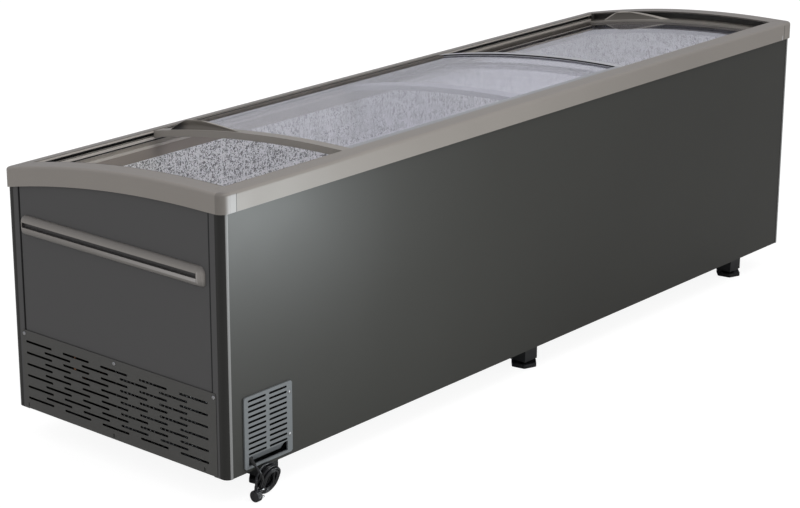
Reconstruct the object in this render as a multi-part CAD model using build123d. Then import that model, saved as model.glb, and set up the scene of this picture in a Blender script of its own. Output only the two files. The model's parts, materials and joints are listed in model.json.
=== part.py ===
from build123d import *
import os
from math import atan2, ceil, cos, radians, sin, sqrt, tan
import numpy as np

# Island display freezer, in millimetres. +X points to the service end with the grille, +Y to the
# high back side, +Z up. The origin is on the floor, under the middle of the cabinet.

# Cabinet
BODY_LENGTH = 2490.0
BODY_WIDTH = 762.0
BASE_HEIGHT = 75.0
SHEET = 1.2
PANEL_STEP = 1.5
TRAY_SHEET = 1.5
SEAM = 0.4

# Corner posts
POST_RADIUS = 18.0
POST_WALL = 2.0
POST_END_FLANGE = 27.0
POST_SIDE_FLANGE = 1.0

# Rim round the top: level at the back, then an arch that falls towards the front
RIM_TOP = 789.0
RIM_BAND = 50.0
RIM_OVERHANG = 5.0
RIM_WIDTH = 48.0
RIM_EDGE_RADIUS = 8.0
RIM_CORNER_RADIUS = 22.5
RAIL_DEPTH = 46.0
SKIRT_GAP = 0.5
END_FRAME_WIDTH = 58.0
END_FRAME_WRAP = 28.0
END_RECESS_TOP = 4.0
END_RECESS_HEIGHT = 17.0
END_RECESS_DEPTH = 12.0
ARCH_RADIUS = 3100.0
ARCH_FROM_BACK = 81.0

# Tank
TANK_END_WALL = 55.0
TANK_SIDE_WALL = 45.0
LINER_WALL = 1.0
TANK_FLOOR = 140.0
STEP_FLOOR = 335.0
STEP_LENGTH = 440.0
BREAKER_THICKNESS = 5.0
BREAKER_BOTTOM = 73.0

# Sliding lids: the upper lid has its handle at the service end, the lower one at the far end
LID_PAST_MIDDLE = 17.0
LID_SIDE_GAP = 1.0
LID_CLOSED_GAP = 4.0
LID_PITCH = 22.0
UPPER_LID_OPEN = 412.0
BAR_WIDTH = 30.0
BAR_TOP = 2.0
BAR_HEIGHT = 18.0
RUNNER_WIDTH = 22.0
RUNNER_TOP = 3.0
RUNNER_HEIGHT = 14.0
GLASS_TOP = 8.0
GLASS_THICKNESS = 4.0
GLASS_BITE = 8.0
TRACK_TOP = 7.0
TRACK_HEIGHT = 10.0
TRACK_DEPTH = 10.0
TONGUE_PLAY = 2.0
TONGUE_TOP_PLAY = 1.0
TONGUE_SEAT_GAP = 0.3
UPPER_TAIL_WIDTH = 22.0
LOWER_TAIL_WIDTH = 45.0
SEAL_WIDTH = 3.0
SEAL_TOP = 5.0
SEAL_LIFT = 0.5
SEAL_END_GAP = 7.0

# Lid handles: a low wing that stands on the end bar, nearer to the front
HANDLE_FROM_FRONT = 101.0
HANDLE_FRONT_RUN = 75.0
HANDLE_BACK_RUN = 190.0
HANDLE_RISE = 28.0
HANDLE_TIP_RISE = 4.0
HANDLE_INSET = 4.0
HANDLE_THICKNESS = 18.0
HANDLE_ROUND = 3.0

# Grip mouldings on the two ends
GRIP_FRONT_GAP = 7.0
GRIP_BACK_GAP = 15.0
GRIP_HEIGHT = 50.0
GRIP_BOTTOM = 551.0
GRIP_DEPTH = 11.0
GRIP_TOP_RADIUS = 20.0
GRIP_BOTTOM_RADIUS = 6.0
GRIP_EDGE = 2.5
GRIP_SLOT_FRONT_INSET = 8.0
GRIP_SLOT_BACK_INSET = 22.0
GRIP_SLOT_HEIGHT = 12.5
GRIP_SLOT_ABOVE = 19.0
GRIP_BACK = 2.0

# Grille under the service end panel
GRILLE_OVERLAP = 12.0
GRILLE_BOTTOM = 77.0
GRILLE_TOP = 291.0
GRILLE_CORNER = 6.0
GRILLE_TUCK = 14.0
GRILLE_SLOT_LENGTH = 97.5
GRILLE_SLOT_HEIGHT = 6.0
GRILLE_SLOT_PERIOD = 139.3
GRILLE_SLOT_SHIFT = -7.0
GRILLE_SLOT_MARGIN = 13.0
GRILLE_ROW_PITCH = 30.85
GRILLE_ROWS = 6
GRILLE_TOP_ROW = 30.4
GRILLE_NOTCH_WIDTH = 3.0
GRILLE_NOTCH_HEIGHT = 11.0
GRILLE_NOTCH_LIFT = 4.0
GRILLE_FRONT_NOTCH = 12.5
GRILLE_MIDDLE_NOTCH = -15.0
GRILLE_BACK_NOTCH = 43.0
GRILLE_MIDDLE_SCREW = -5.0
GRILLE_SCREW_EDGE = 8.0
GRILLE_SCREW_DROP = 10.5

# Screws that hold the grille and the vent cover
SCREW_RADIUS = 2.5
SCREW_LENGTH = 6.0
SCREW_HEAD_RADIUS = 5.0
SCREW_HEAD = 2.6
SCREW_HEAD_ROUND = 1.6
SCREW_CLEARANCE = 0.1

# Vent cover on the back, with the pocket that the cord comes out of; x is from the service end
VENT_NEAR = 57.0
VENT_WIDTH = 166.5
VENT_BOTTOM = 10.0
VENT_HEIGHT = 186.0
VENT_THICKNESS = 4.5
VENT_CORNER = 7.0
VENT_SLOT_LENGTH = 62.0
VENT_SLOT_HEIGHT = 5.6
VENT_SLOT_PITCH = 13.65
VENT_ROWS = 11
VENT_TOP_ROW = 11.5
VENT_COLUMN_GAP = 11.0
VENT_MARGIN = 13.0
POCKET_WIDTH = 136.0
POCKET_HEIGHT = 25.0
POCKET_LIFT = 7.0
POCKET_DEPTH = 16.0
POCKET_WALL = 2.0
POCKET_GAP = 5.0
POCKET_END_GAP = 12.0
VENT_WINDOW_MARGIN = 4.0
VENT_SCREWS = (47.3, 157.4)
VENT_SCREW_EDGE = 9.5

# Feet and the channels that carry them
CHANNEL_WIDTH = 55.0
CHANNEL_HEIGHT = 57.0
CHANNEL_SHEET = 2.5
CHANNEL_INSET = 40.0
CHANNEL_FROM_END = 188.0
FOOT_INSET = 65.0
FOOT_PAD_FLATS = 69.0
FOOT_PAD_HEIGHT = 12.0
FOOT_PAD_CHAMFER = 3.0
FOOT_PAD_TURN = 40.0
FOOT_BOSS_RADIUS = 15.0
FOOT_BOSS_HEIGHT = 3.0
FOOT_STEM_RADIUS = 8.0
FOOT_STEM_TOP = 58.0
FOOT_STEM_CLEARANCE = 0.05
FOOT_HOLE_CLEARANCE = 0.6
FOOT_NUT_FLATS = 24.0
FOOT_NUT_HEIGHT = 13.0

# Machine compartment under the raised floor of the tank
BULKHEAD_TOP = 290.0
BULKHEAD_LENGTH = 440.0
COMPRESSOR_FROM_END = 295.0
COMPRESSOR_FROM_FRONT = 191.0
COMPRESSOR_RADIUS = 74.0
COMPRESSOR_HEIGHT = 165.0
COMPRESSOR_DOME = 34.0
COMPRESSOR_PLATE = (210.0, 150.0, 3.0)
GROMMET_RADIUS = 13.0
GROMMET_HEIGHT = 14.0
GROMMET_SPREAD = (170.0, 112.0)
CONDENSER_FACE_GAP = 12.0
CONDENSER_DEPTH = 44.0
CONDENSER_WIDTH = 330.0
CONDENSER_HEIGHT = 200.0
CONDENSER_FROM_BACK = 66.0
CONDENSER_PLATE = 2.0
CONDENSER_TUBE_RADIUS = 4.0
CONDENSER_TUBE_ROWS = 4
CONDENSER_FIN = 1.2
CONDENSER_FINS = 24
CONDENSER_FIN_INSET = 1.0
FAN_GAP = 14.0
FAN_RADIUS = 82.0
FAN_HUB_RADIUS = 19.0
FAN_HUB_LENGTH = 24.0
FAN_BLADES = 5
FAN_BLADE_CHORD = 46.0
FAN_BLADE_SHEET = 1.6
FAN_BLADE_PITCH = 28.0
FAN_SHAFT_RADIUS = 4.0
FAN_SHAFT_CLEARANCE = 0.05
FAN_MOTOR_RADIUS = 36.0
FAN_MOTOR_LENGTH = 54.0
FAN_MOTOR_GAP = 4.0
FAN_BRACKET_WIDTH = 70.0
FAN_BRACKET_SHEET = 3.0
FAN_BRACKET_FOOT = 34.0
DRIER_RADIUS = 11.0
DRIER_LENGTH = 110.0
DRIER_FROM_END = 235.0
DRIER_FROM_CONDENSER = 5.0
DRIER_MIDDLE = 185.0
DRIER_LIP = 1.0
TUBE_RADIUS = 4.0
TUBE_BEND = 18.0
CONTROL_BOX = (150.0, 70.0, 110.0)
CONTROL_BOX_FROM_BACK = 46.0
CONTROL_BOX_LIFT = 60.0
CONTROL_BOX_ROUND = 6.0

# Evaporator tube, wound round the deep part of the tank inside the foam
EVAPORATOR_RADIUS = 4.0
EVAPORATOR_TURNS = 4
EVAPORATOR_PITCH = 36.0
EVAPORATOR_LIFT = 24.0
EVAPORATOR_BEND = 20.0
EVAPORATOR_GAP = 10.0

# Mains cord: gland in the pocket, a short lead, a hank by the service foot, a tail and a plug.
# Its places are measured from the back corner of the service end, at the floor.
CORD_RADIUS = 3.0
GLAND_FROM_END = 80.0
GLAND_RADIUS = 6.0
GLAND_NOSE_RADIUS = 4.2
GLAND_FLANGE_RADIUS = 9.0
GLAND_FLANGE = 2.0
GLAND_NOSE = 20.0
GLAND_INSIDE = 10.0
HANK_CENTRE = (-131.0, 5.0, 44.0)
HANK_TILT = 22.0
HANK_HALF_WIDTH = 31.0
HANK_STRAIGHT = 19.0
HANK_PITCH = 6.45
HANK_LAYERS = 4
HANK_HALF_TURNS = 5
HANK_START = 8.0
PLUG_CENTRE = (-81.0, 14.5, 15.5)
LEAD_POINTS = ((-81.8, 24.2, 83.6), (-85.5, 26.8, 75.3), (-90.4, 26.0, 66.3), (-96.4, 22.6, 58.6))
LEAD_FIRST_RUN = 9.0
LEAD_LAST_RUN = 10.0
TAIL_POINTS = ((-105.0, 10.7, 81.0), (-96.5, 11.2, 75.3), (-89.5, 11.9, 67.3), (-84.4, 12.6, 58.3))
TAIL_FIRST_RUN = 9.0
TAIL_LAST_RUN = 9.0
CORD_ARC_SHARE = 0.45
PLUG_RADIUS = 15.0
PLUG_THICKNESS = 18.0
PLUG_ROUND = 3.5
PLUG_NECK_RADIUS = 6.0
PLUG_NECK_TIP = 4.2
PLUG_NECK = 25.0
PLUG_PIN_RADIUS = 2.4
PLUG_PIN_LENGTH = 19.0
PLUG_PIN_SPREAD = 19.0

# Places that follow from the sizes above
HALF_LENGTH = BODY_LENGTH / 2
HALF_WIDTH = BODY_WIDTH / 2
ARCH_START = HALF_WIDTH - ARCH_FROM_BACK
RIM_HALF_LENGTH = HALF_LENGTH + RIM_OVERHANG
RIM_HALF_WIDTH = HALF_WIDTH + RIM_OVERHANG
RAIL_INNER = RIM_HALF_WIDTH - RIM_WIDTH
RAIL_HALF_LENGTH = RIM_HALF_LENGTH - END_FRAME_WRAP
END_FRAME_INNER = RIM_HALF_LENGTH - END_FRAME_WIDTH
PANEL_END = HALF_LENGTH - PANEL_STEP
PANEL_SIDE = HALF_WIDTH - PANEL_STEP
CORE_HALF_LENGTH = PANEL_END - SHEET
CORE_HALF_WIDTH = PANEL_SIDE - SHEET
POST_SEAM = HALF_WIDTH - POST_RADIUS - POST_END_FLANGE
POST_SIDE_SEAM = HALF_LENGTH - POST_RADIUS - POST_SIDE_FLANGE
GRIP_LENGTH = 2 * POST_SEAM - GRIP_FRONT_GAP - GRIP_BACK_GAP
GRIP_MIDDLE = (GRIP_FRONT_GAP - GRIP_BACK_GAP) / 2
GRILLE_SIDE = POST_SEAM + GRILLE_OVERLAP
CORE_CORNER = POST_RADIUS - PANEL_STEP - SHEET
TRAY_TOP = BASE_HEIGHT + TRAY_SHEET
TANK_HALF = HALF_LENGTH - TANK_END_WALL
TANK_SIDE = HALF_WIDTH - TANK_SIDE_WALL
STEP_START = TANK_HALF - STEP_LENGTH
BULKHEAD_X = CORE_HALF_LENGTH - BULKHEAD_LENGTH
LID_SIDE = RAIL_INNER - LID_SIDE_GAP
LID_CLOSED_END = END_FRAME_INNER - LID_CLOSED_GAP
LID_LENGTH = LID_CLOSED_END + LID_PAST_MIDDLE
HANDLE_FRONT = HANDLE_FROM_FRONT - HALF_WIDTH
HANDLE_APEX = HANDLE_FRONT + HANDLE_FRONT_RUN
HANDLE_BACK = HANDLE_APEX + HANDLE_BACK_RUN
GLASS_SIDE = LID_SIDE - RUNNER_WIDTH + GLASS_BITE
TONGUE_SIDE = RAIL_INNER + TRACK_DEPTH - TONGUE_PLAY
CHANNEL_BOTTOM = BASE_HEIGHT - CHANNEL_HEIGHT
FOOT_SIDE = HALF_WIDTH - FOOT_INSET
FOOT_ROWS = {"service": HALF_LENGTH - CHANNEL_FROM_END, "middle": 0.0, "far": CHANNEL_FROM_END - HALF_LENGTH}
COMPRESSOR_AT = (HALF_LENGTH - COMPRESSOR_FROM_END, COMPRESSOR_FROM_FRONT - HALF_WIDTH)
CONDENSER_NEAR = HALF_WIDTH - CONDENSER_FROM_BACK - CONDENSER_WIDTH
DRIER_AT = (HALF_LENGTH - DRIER_FROM_END, CONDENSER_NEAR - DRIER_FROM_CONDENSER, DRIER_MIDDLE)
VENT_NEAR_X = HALF_LENGTH - VENT_NEAR
VENT_FAR_X = VENT_NEAR_X - VENT_WIDTH
VENT_MIDDLE = (VENT_NEAR_X + VENT_FAR_X) / 2
VENT_BASE = BASE_HEIGHT + VENT_BOTTOM
VENT_FACE = PANEL_SIDE + VENT_THICKNESS
POCKET_LOW = VENT_BASE + POCKET_LIFT
POCKET_HIGH = POCKET_LOW + POCKET_HEIGHT
SLOPE_LOW = POCKET_LOW + POCKET_GAP
ENDS = {"service": 1, "far": -1}
SIDES = {"back": 1, "front": -1}


def export(name, shape):
    """Write one named piece, as one solid or as a group of separate solids."""
    solids = shape.solids() if hasattr(shape, "solids") else [s for p in shape for s in p.solids()]
    piece = solids[0] if len(solids) == 1 else Compound(children=list(solids))
    piece.label = name
    export_step(piece, f"parts/{name}.step")


def slab(x0, x1, y0, y1, z0, z1):
    """A box between two corners."""
    size = (abs(x1 - x0), abs(y1 - y0), abs(z1 - z0))
    return Pos((x0 + x1) / 2, (y0 + y1) / 2, (z0 + z1) / 2) * Box(*size)


def upright(face, z0, z1):
    """A plan outline raised from z0 to z1."""
    return Pos(0, 0, z0) * extrude(face, amount=z1 - z0)


def along_x(face, x0, x1):
    """An outline in Y and Z carried along X from x0 to x1."""
    low, high = min(x0, x1), max(x0, x1)
    return extrude(Plane.YZ.offset(low) * face, amount=high - low)


def rod_x(x0, x1, y, z, radius):
    """A round bar along X."""
    return along_x(Pos(y, z) * Circle(radius), x0, x1)


def rod_y(x, y0, y1, z, radius):
    """A round bar along Y."""
    low, high = min(y0, y1), max(y0, y1)
    return Pos(x, (low + high) / 2, z) * Rot(90, 0, 0) * Cylinder(radius, high - low)


def rod_z(x, y, z0, z1, radius):
    """A round bar along Z."""
    return Pos(x, y, (z0 + z1) / 2) * Cylinder(radius, z1 - z0)


def arch_z(y, depth):
    """Height of the line that runs `depth` under the rim's top line."""
    if y >= ARCH_START:
        return RIM_TOP - depth
    radius = ARCH_RADIUS - depth
    return RIM_TOP - ARCH_RADIUS + sqrt(radius**2 - (ARCH_START - y) ** 2)


def arch_edges(front, back, depth):
    """The line `depth` under the rim's top: an arc up to the level part, then straight."""
    stops = [front, back]
    if front < ARCH_START < back:
        stops.insert(1, ARCH_START)
    edges = []
    for a, b in zip(stops, stops[1:]):
        ends = [(a, arch_z(a, depth)), (b, arch_z(b, depth))]
        if b <= ARCH_START:
            middle = (a + b) / 2
            edges.append(ThreePointArc(ends[0], (middle, arch_z(middle, depth)), ends[1]))
        else:
            edges.append(Line(*ends))
    return edges


def arch_band(front, back, top, bottom):
    """The strip between two depths under the rim's top line."""
    ends = [Line((y, arch_z(y, top)), (y, arch_z(y, bottom))) for y in (front, back)]
    return make_face(arch_edges(front, back, top) + arch_edges(front, back, bottom) + ends)


def under_arch(front, back, depth, base):
    """Everything from a level base up to `depth` under the rim's top line."""
    ends = [Line((y, arch_z(y, depth)), (y, base)) for y in (front, back)]
    floor = [Line((front, base), (back, base))]
    return make_face(arch_edges(front, back, depth) + floor + ends)


def tube(points, radius, bend):
    """A tube along straight runs with one bend radius at every corner."""
    path = FilletPolyline(*points, radius=bend)
    return sweep(Plane(origin=path @ 0, z_dir=path % 0) * Circle(radius), path=path)


BELOW_RIM = along_x(under_arch(-HALF_WIDTH, HALF_WIDTH, RAIL_DEPTH, BASE_HEIGHT), -HALF_LENGTH, HALF_LENGTH)
CORE_PLAN = RectangleRounded(2 * CORE_HALF_LENGTH, 2 * CORE_HALF_WIDTH, CORE_CORNER)


def screw_places():
    """Centres and outward directions of the grille's and the vent cover's screws."""
    edge = GRILLE_SIDE - GRILLE_SCREW_EDGE
    across = (-edge, GRILLE_MIDDLE_SCREW, edge)
    grille = [(HALF_LENGTH + SHEET, y, GRILLE_TOP - GRILLE_SCREW_DROP) for y in across]
    vent = [(VENT_FAR_X + VENT_SCREW_EDGE, VENT_FACE, VENT_BASE + z) for z in VENT_SCREWS]
    return [Plane(p, z_dir=(1, 0, 0)) for p in grille] + [Plane(p, z_dir=(0, 1, 0)) for p in vent]


def screw_holes():
    """Clearance holes for all the screws."""
    hole = Cylinder(SCREW_RADIUS + SCREW_CLEARANCE, 2 * SCREW_LENGTH)
    return [place * hole for place in screw_places()]


def cover_screws():
    """Pan-head screws: a shank and a domed head."""
    shank = Pos(0, 0, -SCREW_LENGTH / 2) * Cylinder(SCREW_RADIUS, SCREW_LENGTH)
    head = Pos(0, 0, SCREW_HEAD / 2) * Cylinder(SCREW_HEAD_RADIUS, SCREW_HEAD)
    head = fillet(head.edges().group_by(Axis.Z)[-1], SCREW_HEAD_ROUND)
    screw = shank + head
    return [place * screw for place in screw_places()]


def corner_post(end, side):
    """A folded corner post: a quarter round between an end flange and a side flange."""
    outside = RectangleRounded(BODY_LENGTH, BODY_WIDTH, POST_RADIUS)
    inside = RectangleRounded(
        BODY_LENGTH - 2 * POST_WALL, BODY_WIDTH - 2 * POST_WALL, POST_RADIUS - POST_WALL
    )
    length = HALF_LENGTH - POST_SIDE_SEAM
    width = HALF_WIDTH - POST_SEAM
    corner = Pos(end * (HALF_LENGTH - length / 2), side * (HALF_WIDTH - width / 2)) * Rectangle(length, width)
    return upright((outside - inside) & corner, BASE_HEIGHT, RIM_TOP) & BELOW_RIM


def vent_window():
    """Opening in the back panel behind the vent cover."""
    m = VENT_WINDOW_MARGIN
    return slab(
        VENT_FAR_X + VENT_SCREW_EDGE + SCREW_HEAD_RADIUS, VENT_NEAR_X - m, CORE_HALF_WIDTH, VENT_FACE,
        VENT_BASE + m, VENT_BASE + VENT_HEIGHT - m,
    )


def long_panel(side):
    """Outer skin of a long side, between the corner posts."""
    length = POST_SIDE_SEAM - SEAM
    panel = slab(-length, length, side * CORE_HALF_WIDTH, side * PANEL_SIDE, BASE_HEIGHT, RIM_TOP)
    return panel & BELOW_RIM


def end_panel(end, bottom):
    """Outer skin of an end, between the corner posts and up to the arch."""
    width = POST_SEAM - SEAM
    return along_x(under_arch(-width, width, RAIL_DEPTH, bottom), end * CORE_HALF_LENGTH, end * PANEL_END)


def grille():
    """Sheet with staggered rows of air slots, rounded upper corners and three foot notches."""
    height = GRILLE_TOP - GRILLE_BOTTOM
    plate = Pos(0, (GRILLE_TOP + GRILLE_BOTTOM) / 2) * RectangleRounded(2 * GRILLE_SIDE, height, GRILLE_CORNER)
    slot = SlotOverall(GRILLE_SLOT_LENGTH, GRILLE_SLOT_HEIGHT)
    room = 2 * (GRILLE_SIDE - GRILLE_SLOT_MARGIN - abs(GRILLE_SLOT_SHIFT)) - GRILLE_SLOT_LENGTH
    most = int(room / GRILLE_SLOT_PERIOD) + 1
    cuts = []
    for row in range(2 * GRILLE_ROWS - 1):
        count = most - row % 2
        z = GRILLE_TOP - GRILLE_TOP_ROW - row * GRILLE_ROW_PITCH / 2
        for i in range(count):
            y = GRILLE_SLOT_SHIFT + (i - (count - 1) / 2) * GRILLE_SLOT_PERIOD
            cuts.append(Pos(y, z) * slot)
    notch = SlotOverall(GRILLE_NOTCH_HEIGHT, GRILLE_NOTCH_WIDTH, rotation=90)
    notch_z = GRILLE_BOTTOM + GRILLE_NOTCH_LIFT + GRILLE_NOTCH_HEIGHT / 2
    places = (GRILLE_FRONT_NOTCH - GRILLE_SIDE, GRILLE_MIDDLE_NOTCH, GRILLE_SIDE - GRILLE_BACK_NOTCH)
    cuts += [Pos(y, notch_z) * notch for y in places]
    return along_x(plate - cuts, HALF_LENGTH, HALF_LENGTH + SHEET)


def end_grip(end):
    """Moulded grip on an end panel: a rounded bar with a long finger slot."""
    outline = Rectangle(GRIP_LENGTH, GRIP_HEIGHT)
    corners = outline.vertices().group_by(Axis.Y)
    outline = fillet(corners[-1], GRIP_TOP_RADIUS)
    outline = fillet(outline.vertices().group_by(Axis.Y)[0], GRIP_BOTTOM_RADIUS)
    outline = Pos(GRIP_MIDDLE, GRIP_BOTTOM + GRIP_HEIGHT / 2) * outline
    bar = along_x(outline, PANEL_END, PANEL_END + GRIP_DEPTH)
    bar = fillet(bar.faces().sort_by(Axis.X)[-1].edges(), GRIP_EDGE)
    slot_z = GRIP_BOTTOM + GRIP_SLOT_ABOVE + GRIP_SLOT_HEIGHT / 2
    slot_length = GRIP_LENGTH - GRIP_SLOT_FRONT_INSET - GRIP_SLOT_BACK_INSET
    slot_y = GRIP_MIDDLE + (GRIP_SLOT_FRONT_INSET - GRIP_SLOT_BACK_INSET) / 2
    slot = Pos(slot_y, slot_z) * Rectangle(slot_length, GRIP_SLOT_HEIGHT)
    bar -= along_x(slot, PANEL_END + GRIP_BACK, PANEL_END + 2 * GRIP_DEPTH)
    return bar if end > 0 else Rot(0, 0, 180) * bar


def by_corner(place):
    """A place measured from the back corner of the service end, at the floor."""
    return Vector(HALF_LENGTH + place[0], HALF_WIDTH + place[1], place[2])


def gland_axis():
    """Where the gland sits, half way up the pocket's slope, and the direction it points in."""
    run = POCKET_DEPTH - POCKET_WALL
    lean = atan2(run, POCKET_HIGH - SLOPE_LOW)
    place = (HALF_LENGTH - GLAND_FROM_END, VENT_FACE - run / 2, (SLOPE_LOW + POCKET_HIGH) / 2)
    return Plane(place, x_dir=(1, 0, 0), z_dir=(0, cos(lean), -sin(lean)))


def vent_cover():
    """Louvred cover with two columns of slots; a sloping flap in the pocket at its foot holds the gland."""
    plate = Pos(VENT_MIDDLE, VENT_BASE + VENT_HEIGHT / 2) * RectangleRounded(VENT_WIDTH, VENT_HEIGHT, VENT_CORNER)
    slot = SlotOverall(VENT_SLOT_LENGTH, VENT_SLOT_HEIGHT)
    step = (VENT_SLOT_LENGTH + VENT_COLUMN_GAP)
    first = VENT_NEAR_X - VENT_MARGIN - VENT_SLOT_LENGTH / 2
    cuts = []
    for row in range(VENT_ROWS):
        z = VENT_BASE + VENT_HEIGHT - VENT_TOP_ROW - row * VENT_SLOT_PITCH
        cuts += [Pos(first - column * step, z) * slot for column in range(2)]
    near = VENT_NEAR_X - VENT_MARGIN
    far = near - POCKET_WIDTH
    pocket = Rectangle(POCKET_WIDTH, POCKET_HEIGHT)
    cuts.append(Pos((near + far) / 2, (POCKET_LOW + POCKET_HIGH) / 2) * pocket)
    front = Plane.XZ.offset(-VENT_FACE)
    cover = extrude(front * (plate - cuts), amount=VENT_THICKNESS)
    inmost = VENT_FACE - POCKET_DEPTH
    slope = make_face(
        Polyline(
            (VENT_FACE - POCKET_WALL, POCKET_HIGH), (VENT_FACE, POCKET_HIGH),
            (inmost + POCKET_WALL, SLOPE_LOW), (inmost, SLOPE_LOW), close=True,
        )
    )
    cover += along_x(slope, far + POCKET_END_GAP, near)
    bore = gland_axis() * Cylinder(GLAND_RADIUS, 4 * POCKET_DEPTH)
    return cover - bore - screw_holes()


def foot_places():
    """Names and plan positions of the six feet."""
    return {f"{r}_{s}": (x, sign * FOOT_SIDE) for r, x in FOOT_ROWS.items() for s, sign in SIDES.items()}


def foot_channel(x):
    """Cross channel under the cabinet, closed at its ends, with a hole for each foot's stem."""
    width = CHANNEL_WIDTH / 2
    length = HALF_WIDTH - CHANNEL_INSET
    t = CHANNEL_SHEET
    channel = slab(x - width, x + width, -length, length, CHANNEL_BOTTOM, BASE_HEIGHT)
    channel -= slab(x - width + t, x + width - t, -length + t, length - t, CHANNEL_BOTTOM + t, BASE_HEIGHT + t)
    radius = FOOT_STEM_RADIUS + FOOT_HOLE_CLEARANCE
    return channel - [rod_z(x, s * FOOT_SIDE, CHANNEL_BOTTOM - t, BASE_HEIGHT, radius) for s in SIDES.values()]


def foot(x, y):
    """Levelling foot: a six-sided pad with a boss on a threaded stem."""
    hexagon = RegularPolygon(FOOT_PAD_FLATS / 2, 6, major_radius=False, rotation=FOOT_PAD_TURN)
    pad = extrude(hexagon, amount=FOOT_PAD_HEIGHT)
    pad = chamfer(pad.edges().group_by(Axis.Z)[-1], FOOT_PAD_CHAMFER)
    boss = rod_z(0, 0, 0, FOOT_PAD_HEIGHT + FOOT_BOSS_HEIGHT, FOOT_BOSS_RADIUS)
    stem = rod_z(0, 0, 0, FOOT_STEM_TOP, FOOT_STEM_RADIUS)
    return Pos(x, y, 0) * (pad + boss + stem)


def foot_nut(x, y):
    """Hexagon nut inside the channel, which the stem screws through."""
    bottom = CHANNEL_BOTTOM + CHANNEL_SHEET
    nut = RegularPolygon(FOOT_NUT_FLATS / 2, 6, major_radius=False)
    nut -= Circle(FOOT_STEM_RADIUS + FOOT_STEM_CLEARANCE)
    return Pos(x, y, 0) * upright(nut, bottom, bottom + FOOT_NUT_HEIGHT)


def tank(grow):
    """The storage space, deep in the main part and raised over the machine compartment."""
    side = TANK_SIDE + grow
    end = TANK_HALF + grow
    deep = slab(-end, STEP_START + grow, -side, side, TANK_FLOOR - grow, RIM_TOP)
    return deep + slab(-end, end, -side, side, STEP_FLOOR - grow, RIM_TOP)


def inner_liner():
    """Embossed sheets of the tank: two floors, the riser between them and six walls.

    The sheets meet edge to edge, and the walls end at the breaker strips.
    """
    t = LINER_WALL
    end, side, step = TANK_HALF, TANK_SIDE, STEP_START
    outer = side + t
    sheets = [
        slab(-end - t, step + t, -outer, outer, TANK_FLOOR - t, TANK_FLOOR),
        slab(step, end + t, -outer, outer, STEP_FLOOR - t, STEP_FLOOR),
        slab(step, step + t, -outer, outer, TANK_FLOOR, STEP_FLOOR - t),
    ]
    walls = [
        slab(-end - t, -end, -side, side, TANK_FLOOR, RIM_TOP),
        slab(end, end + t, -side, side, STEP_FLOOR, RIM_TOP),
    ]
    for sign in SIDES.values():
        walls.append(slab(-end - t, step, sign * side, sign * outer, TANK_FLOOR, RIM_TOP))
        walls.append(slab(step, end + t, sign * side, sign * outer, STEP_FLOOR, RIM_TOP))
    limit = along_x(under_arch(-HALF_WIDTH, HALF_WIDTH, BREAKER_BOTTOM, 0), -HALF_LENGTH, HALF_LENGTH)
    return sheets + [wall & limit for wall in walls]


def breaker_strips():
    """Plastic strips between the rim and the tank, one to a side."""
    end = TANK_HALF + BREAKER_THICKNESS
    strips = []
    for side in SIDES.values():
        faces = sorted((side * TANK_SIDE, side * (TANK_SIDE + BREAKER_THICKNESS)))
        strips.append(along_x(arch_band(*faces, RAIL_DEPTH, BREAKER_BOTTOM), -end, end))
    for sign in ENDS.values():
        band = arch_band(-TANK_SIDE, TANK_SIDE, RAIL_DEPTH, BREAKER_BOTTOM)
        strips.append(along_x(band, sign * TANK_HALF, sign * end))
    return strips


def machine_space():
    """The compartment under the raised floor, open to the grille."""
    return slab(
        BULKHEAD_X, HALF_LENGTH, -CORE_HALF_WIDTH, CORE_HALF_WIDTH, TRAY_TOP, BULKHEAD_TOP + SHEET
    )


def machine_bulkhead():
    """Folded sheet between the foam and the machine compartment."""
    space = slab(
        BULKHEAD_X + SHEET, CORE_HALF_LENGTH, -CORE_HALF_WIDTH, CORE_HALF_WIDTH, TRAY_TOP, BULKHEAD_TOP
    )
    plan = upright(CORE_PLAN, TRAY_TOP, BULKHEAD_TOP + SHEET)
    return (machine_space() - space) & plan


def evaporator_tube():
    """Tube in rising rectangular turns round the deep part of the tank."""
    gap = LINER_WALL + EVAPORATOR_GAP + EVAPORATOR_RADIUS
    x0 = -TANK_HALF - gap
    x1 = STEP_START + gap
    y = TANK_SIDE + gap
    corners = [(x1, -y), (x1, y), (x0, y), (x0, -y)]
    climb = EVAPORATOR_PITCH / len(corners)
    points = [
        (*corners[i % len(corners)], TANK_FLOOR + EVAPORATOR_LIFT + i * climb)
        for i in range(EVAPORATOR_TURNS * len(corners))
    ]
    return tube(points, EVAPORATOR_RADIUS, EVAPORATOR_BEND)


def foam_insulation(liner_hole, strips, evaporator):
    """Foam between the skins and the tank, with the machine compartment left out."""
    block = upright(CORE_PLAN, TRAY_TOP, RIM_TOP) & BELOW_RIM
    return block - liner_hole - strips - machine_space() - evaporator


def rail_section(side):
    """Outline of a long rail: rounded outer edge, a skirt over the skin and two lid tracks."""
    def between(near, far, top, bottom):
        return arch_band(*sorted((side * near, side * far)), top, bottom)

    section = between(RAIL_INNER, RIM_HALF_WIDTH, 0, RAIL_DEPTH)
    corner = (side * RIM_HALF_WIDTH, arch_z(side * RIM_HALF_WIDTH, 0))
    section = fillet(section.vertices().sort_by_distance(corner)[:1], RIM_EDGE_RADIUS)
    section += between(HALF_WIDTH + SKIRT_GAP, RIM_HALF_WIDTH, RAIL_DEPTH, RIM_BAND)
    for drop in (0, LID_PITCH):
        top = TRACK_TOP + drop
        section -= between(RAIL_INNER, RAIL_INNER + TRACK_DEPTH, top, top + TRACK_HEIGHT)
    return section


def long_rail(side):
    """Extruded rail along a long side, between the two end frames."""
    length = RAIL_HALF_LENGTH - SEAM
    return along_x(rail_section(side), -length, length)


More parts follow.
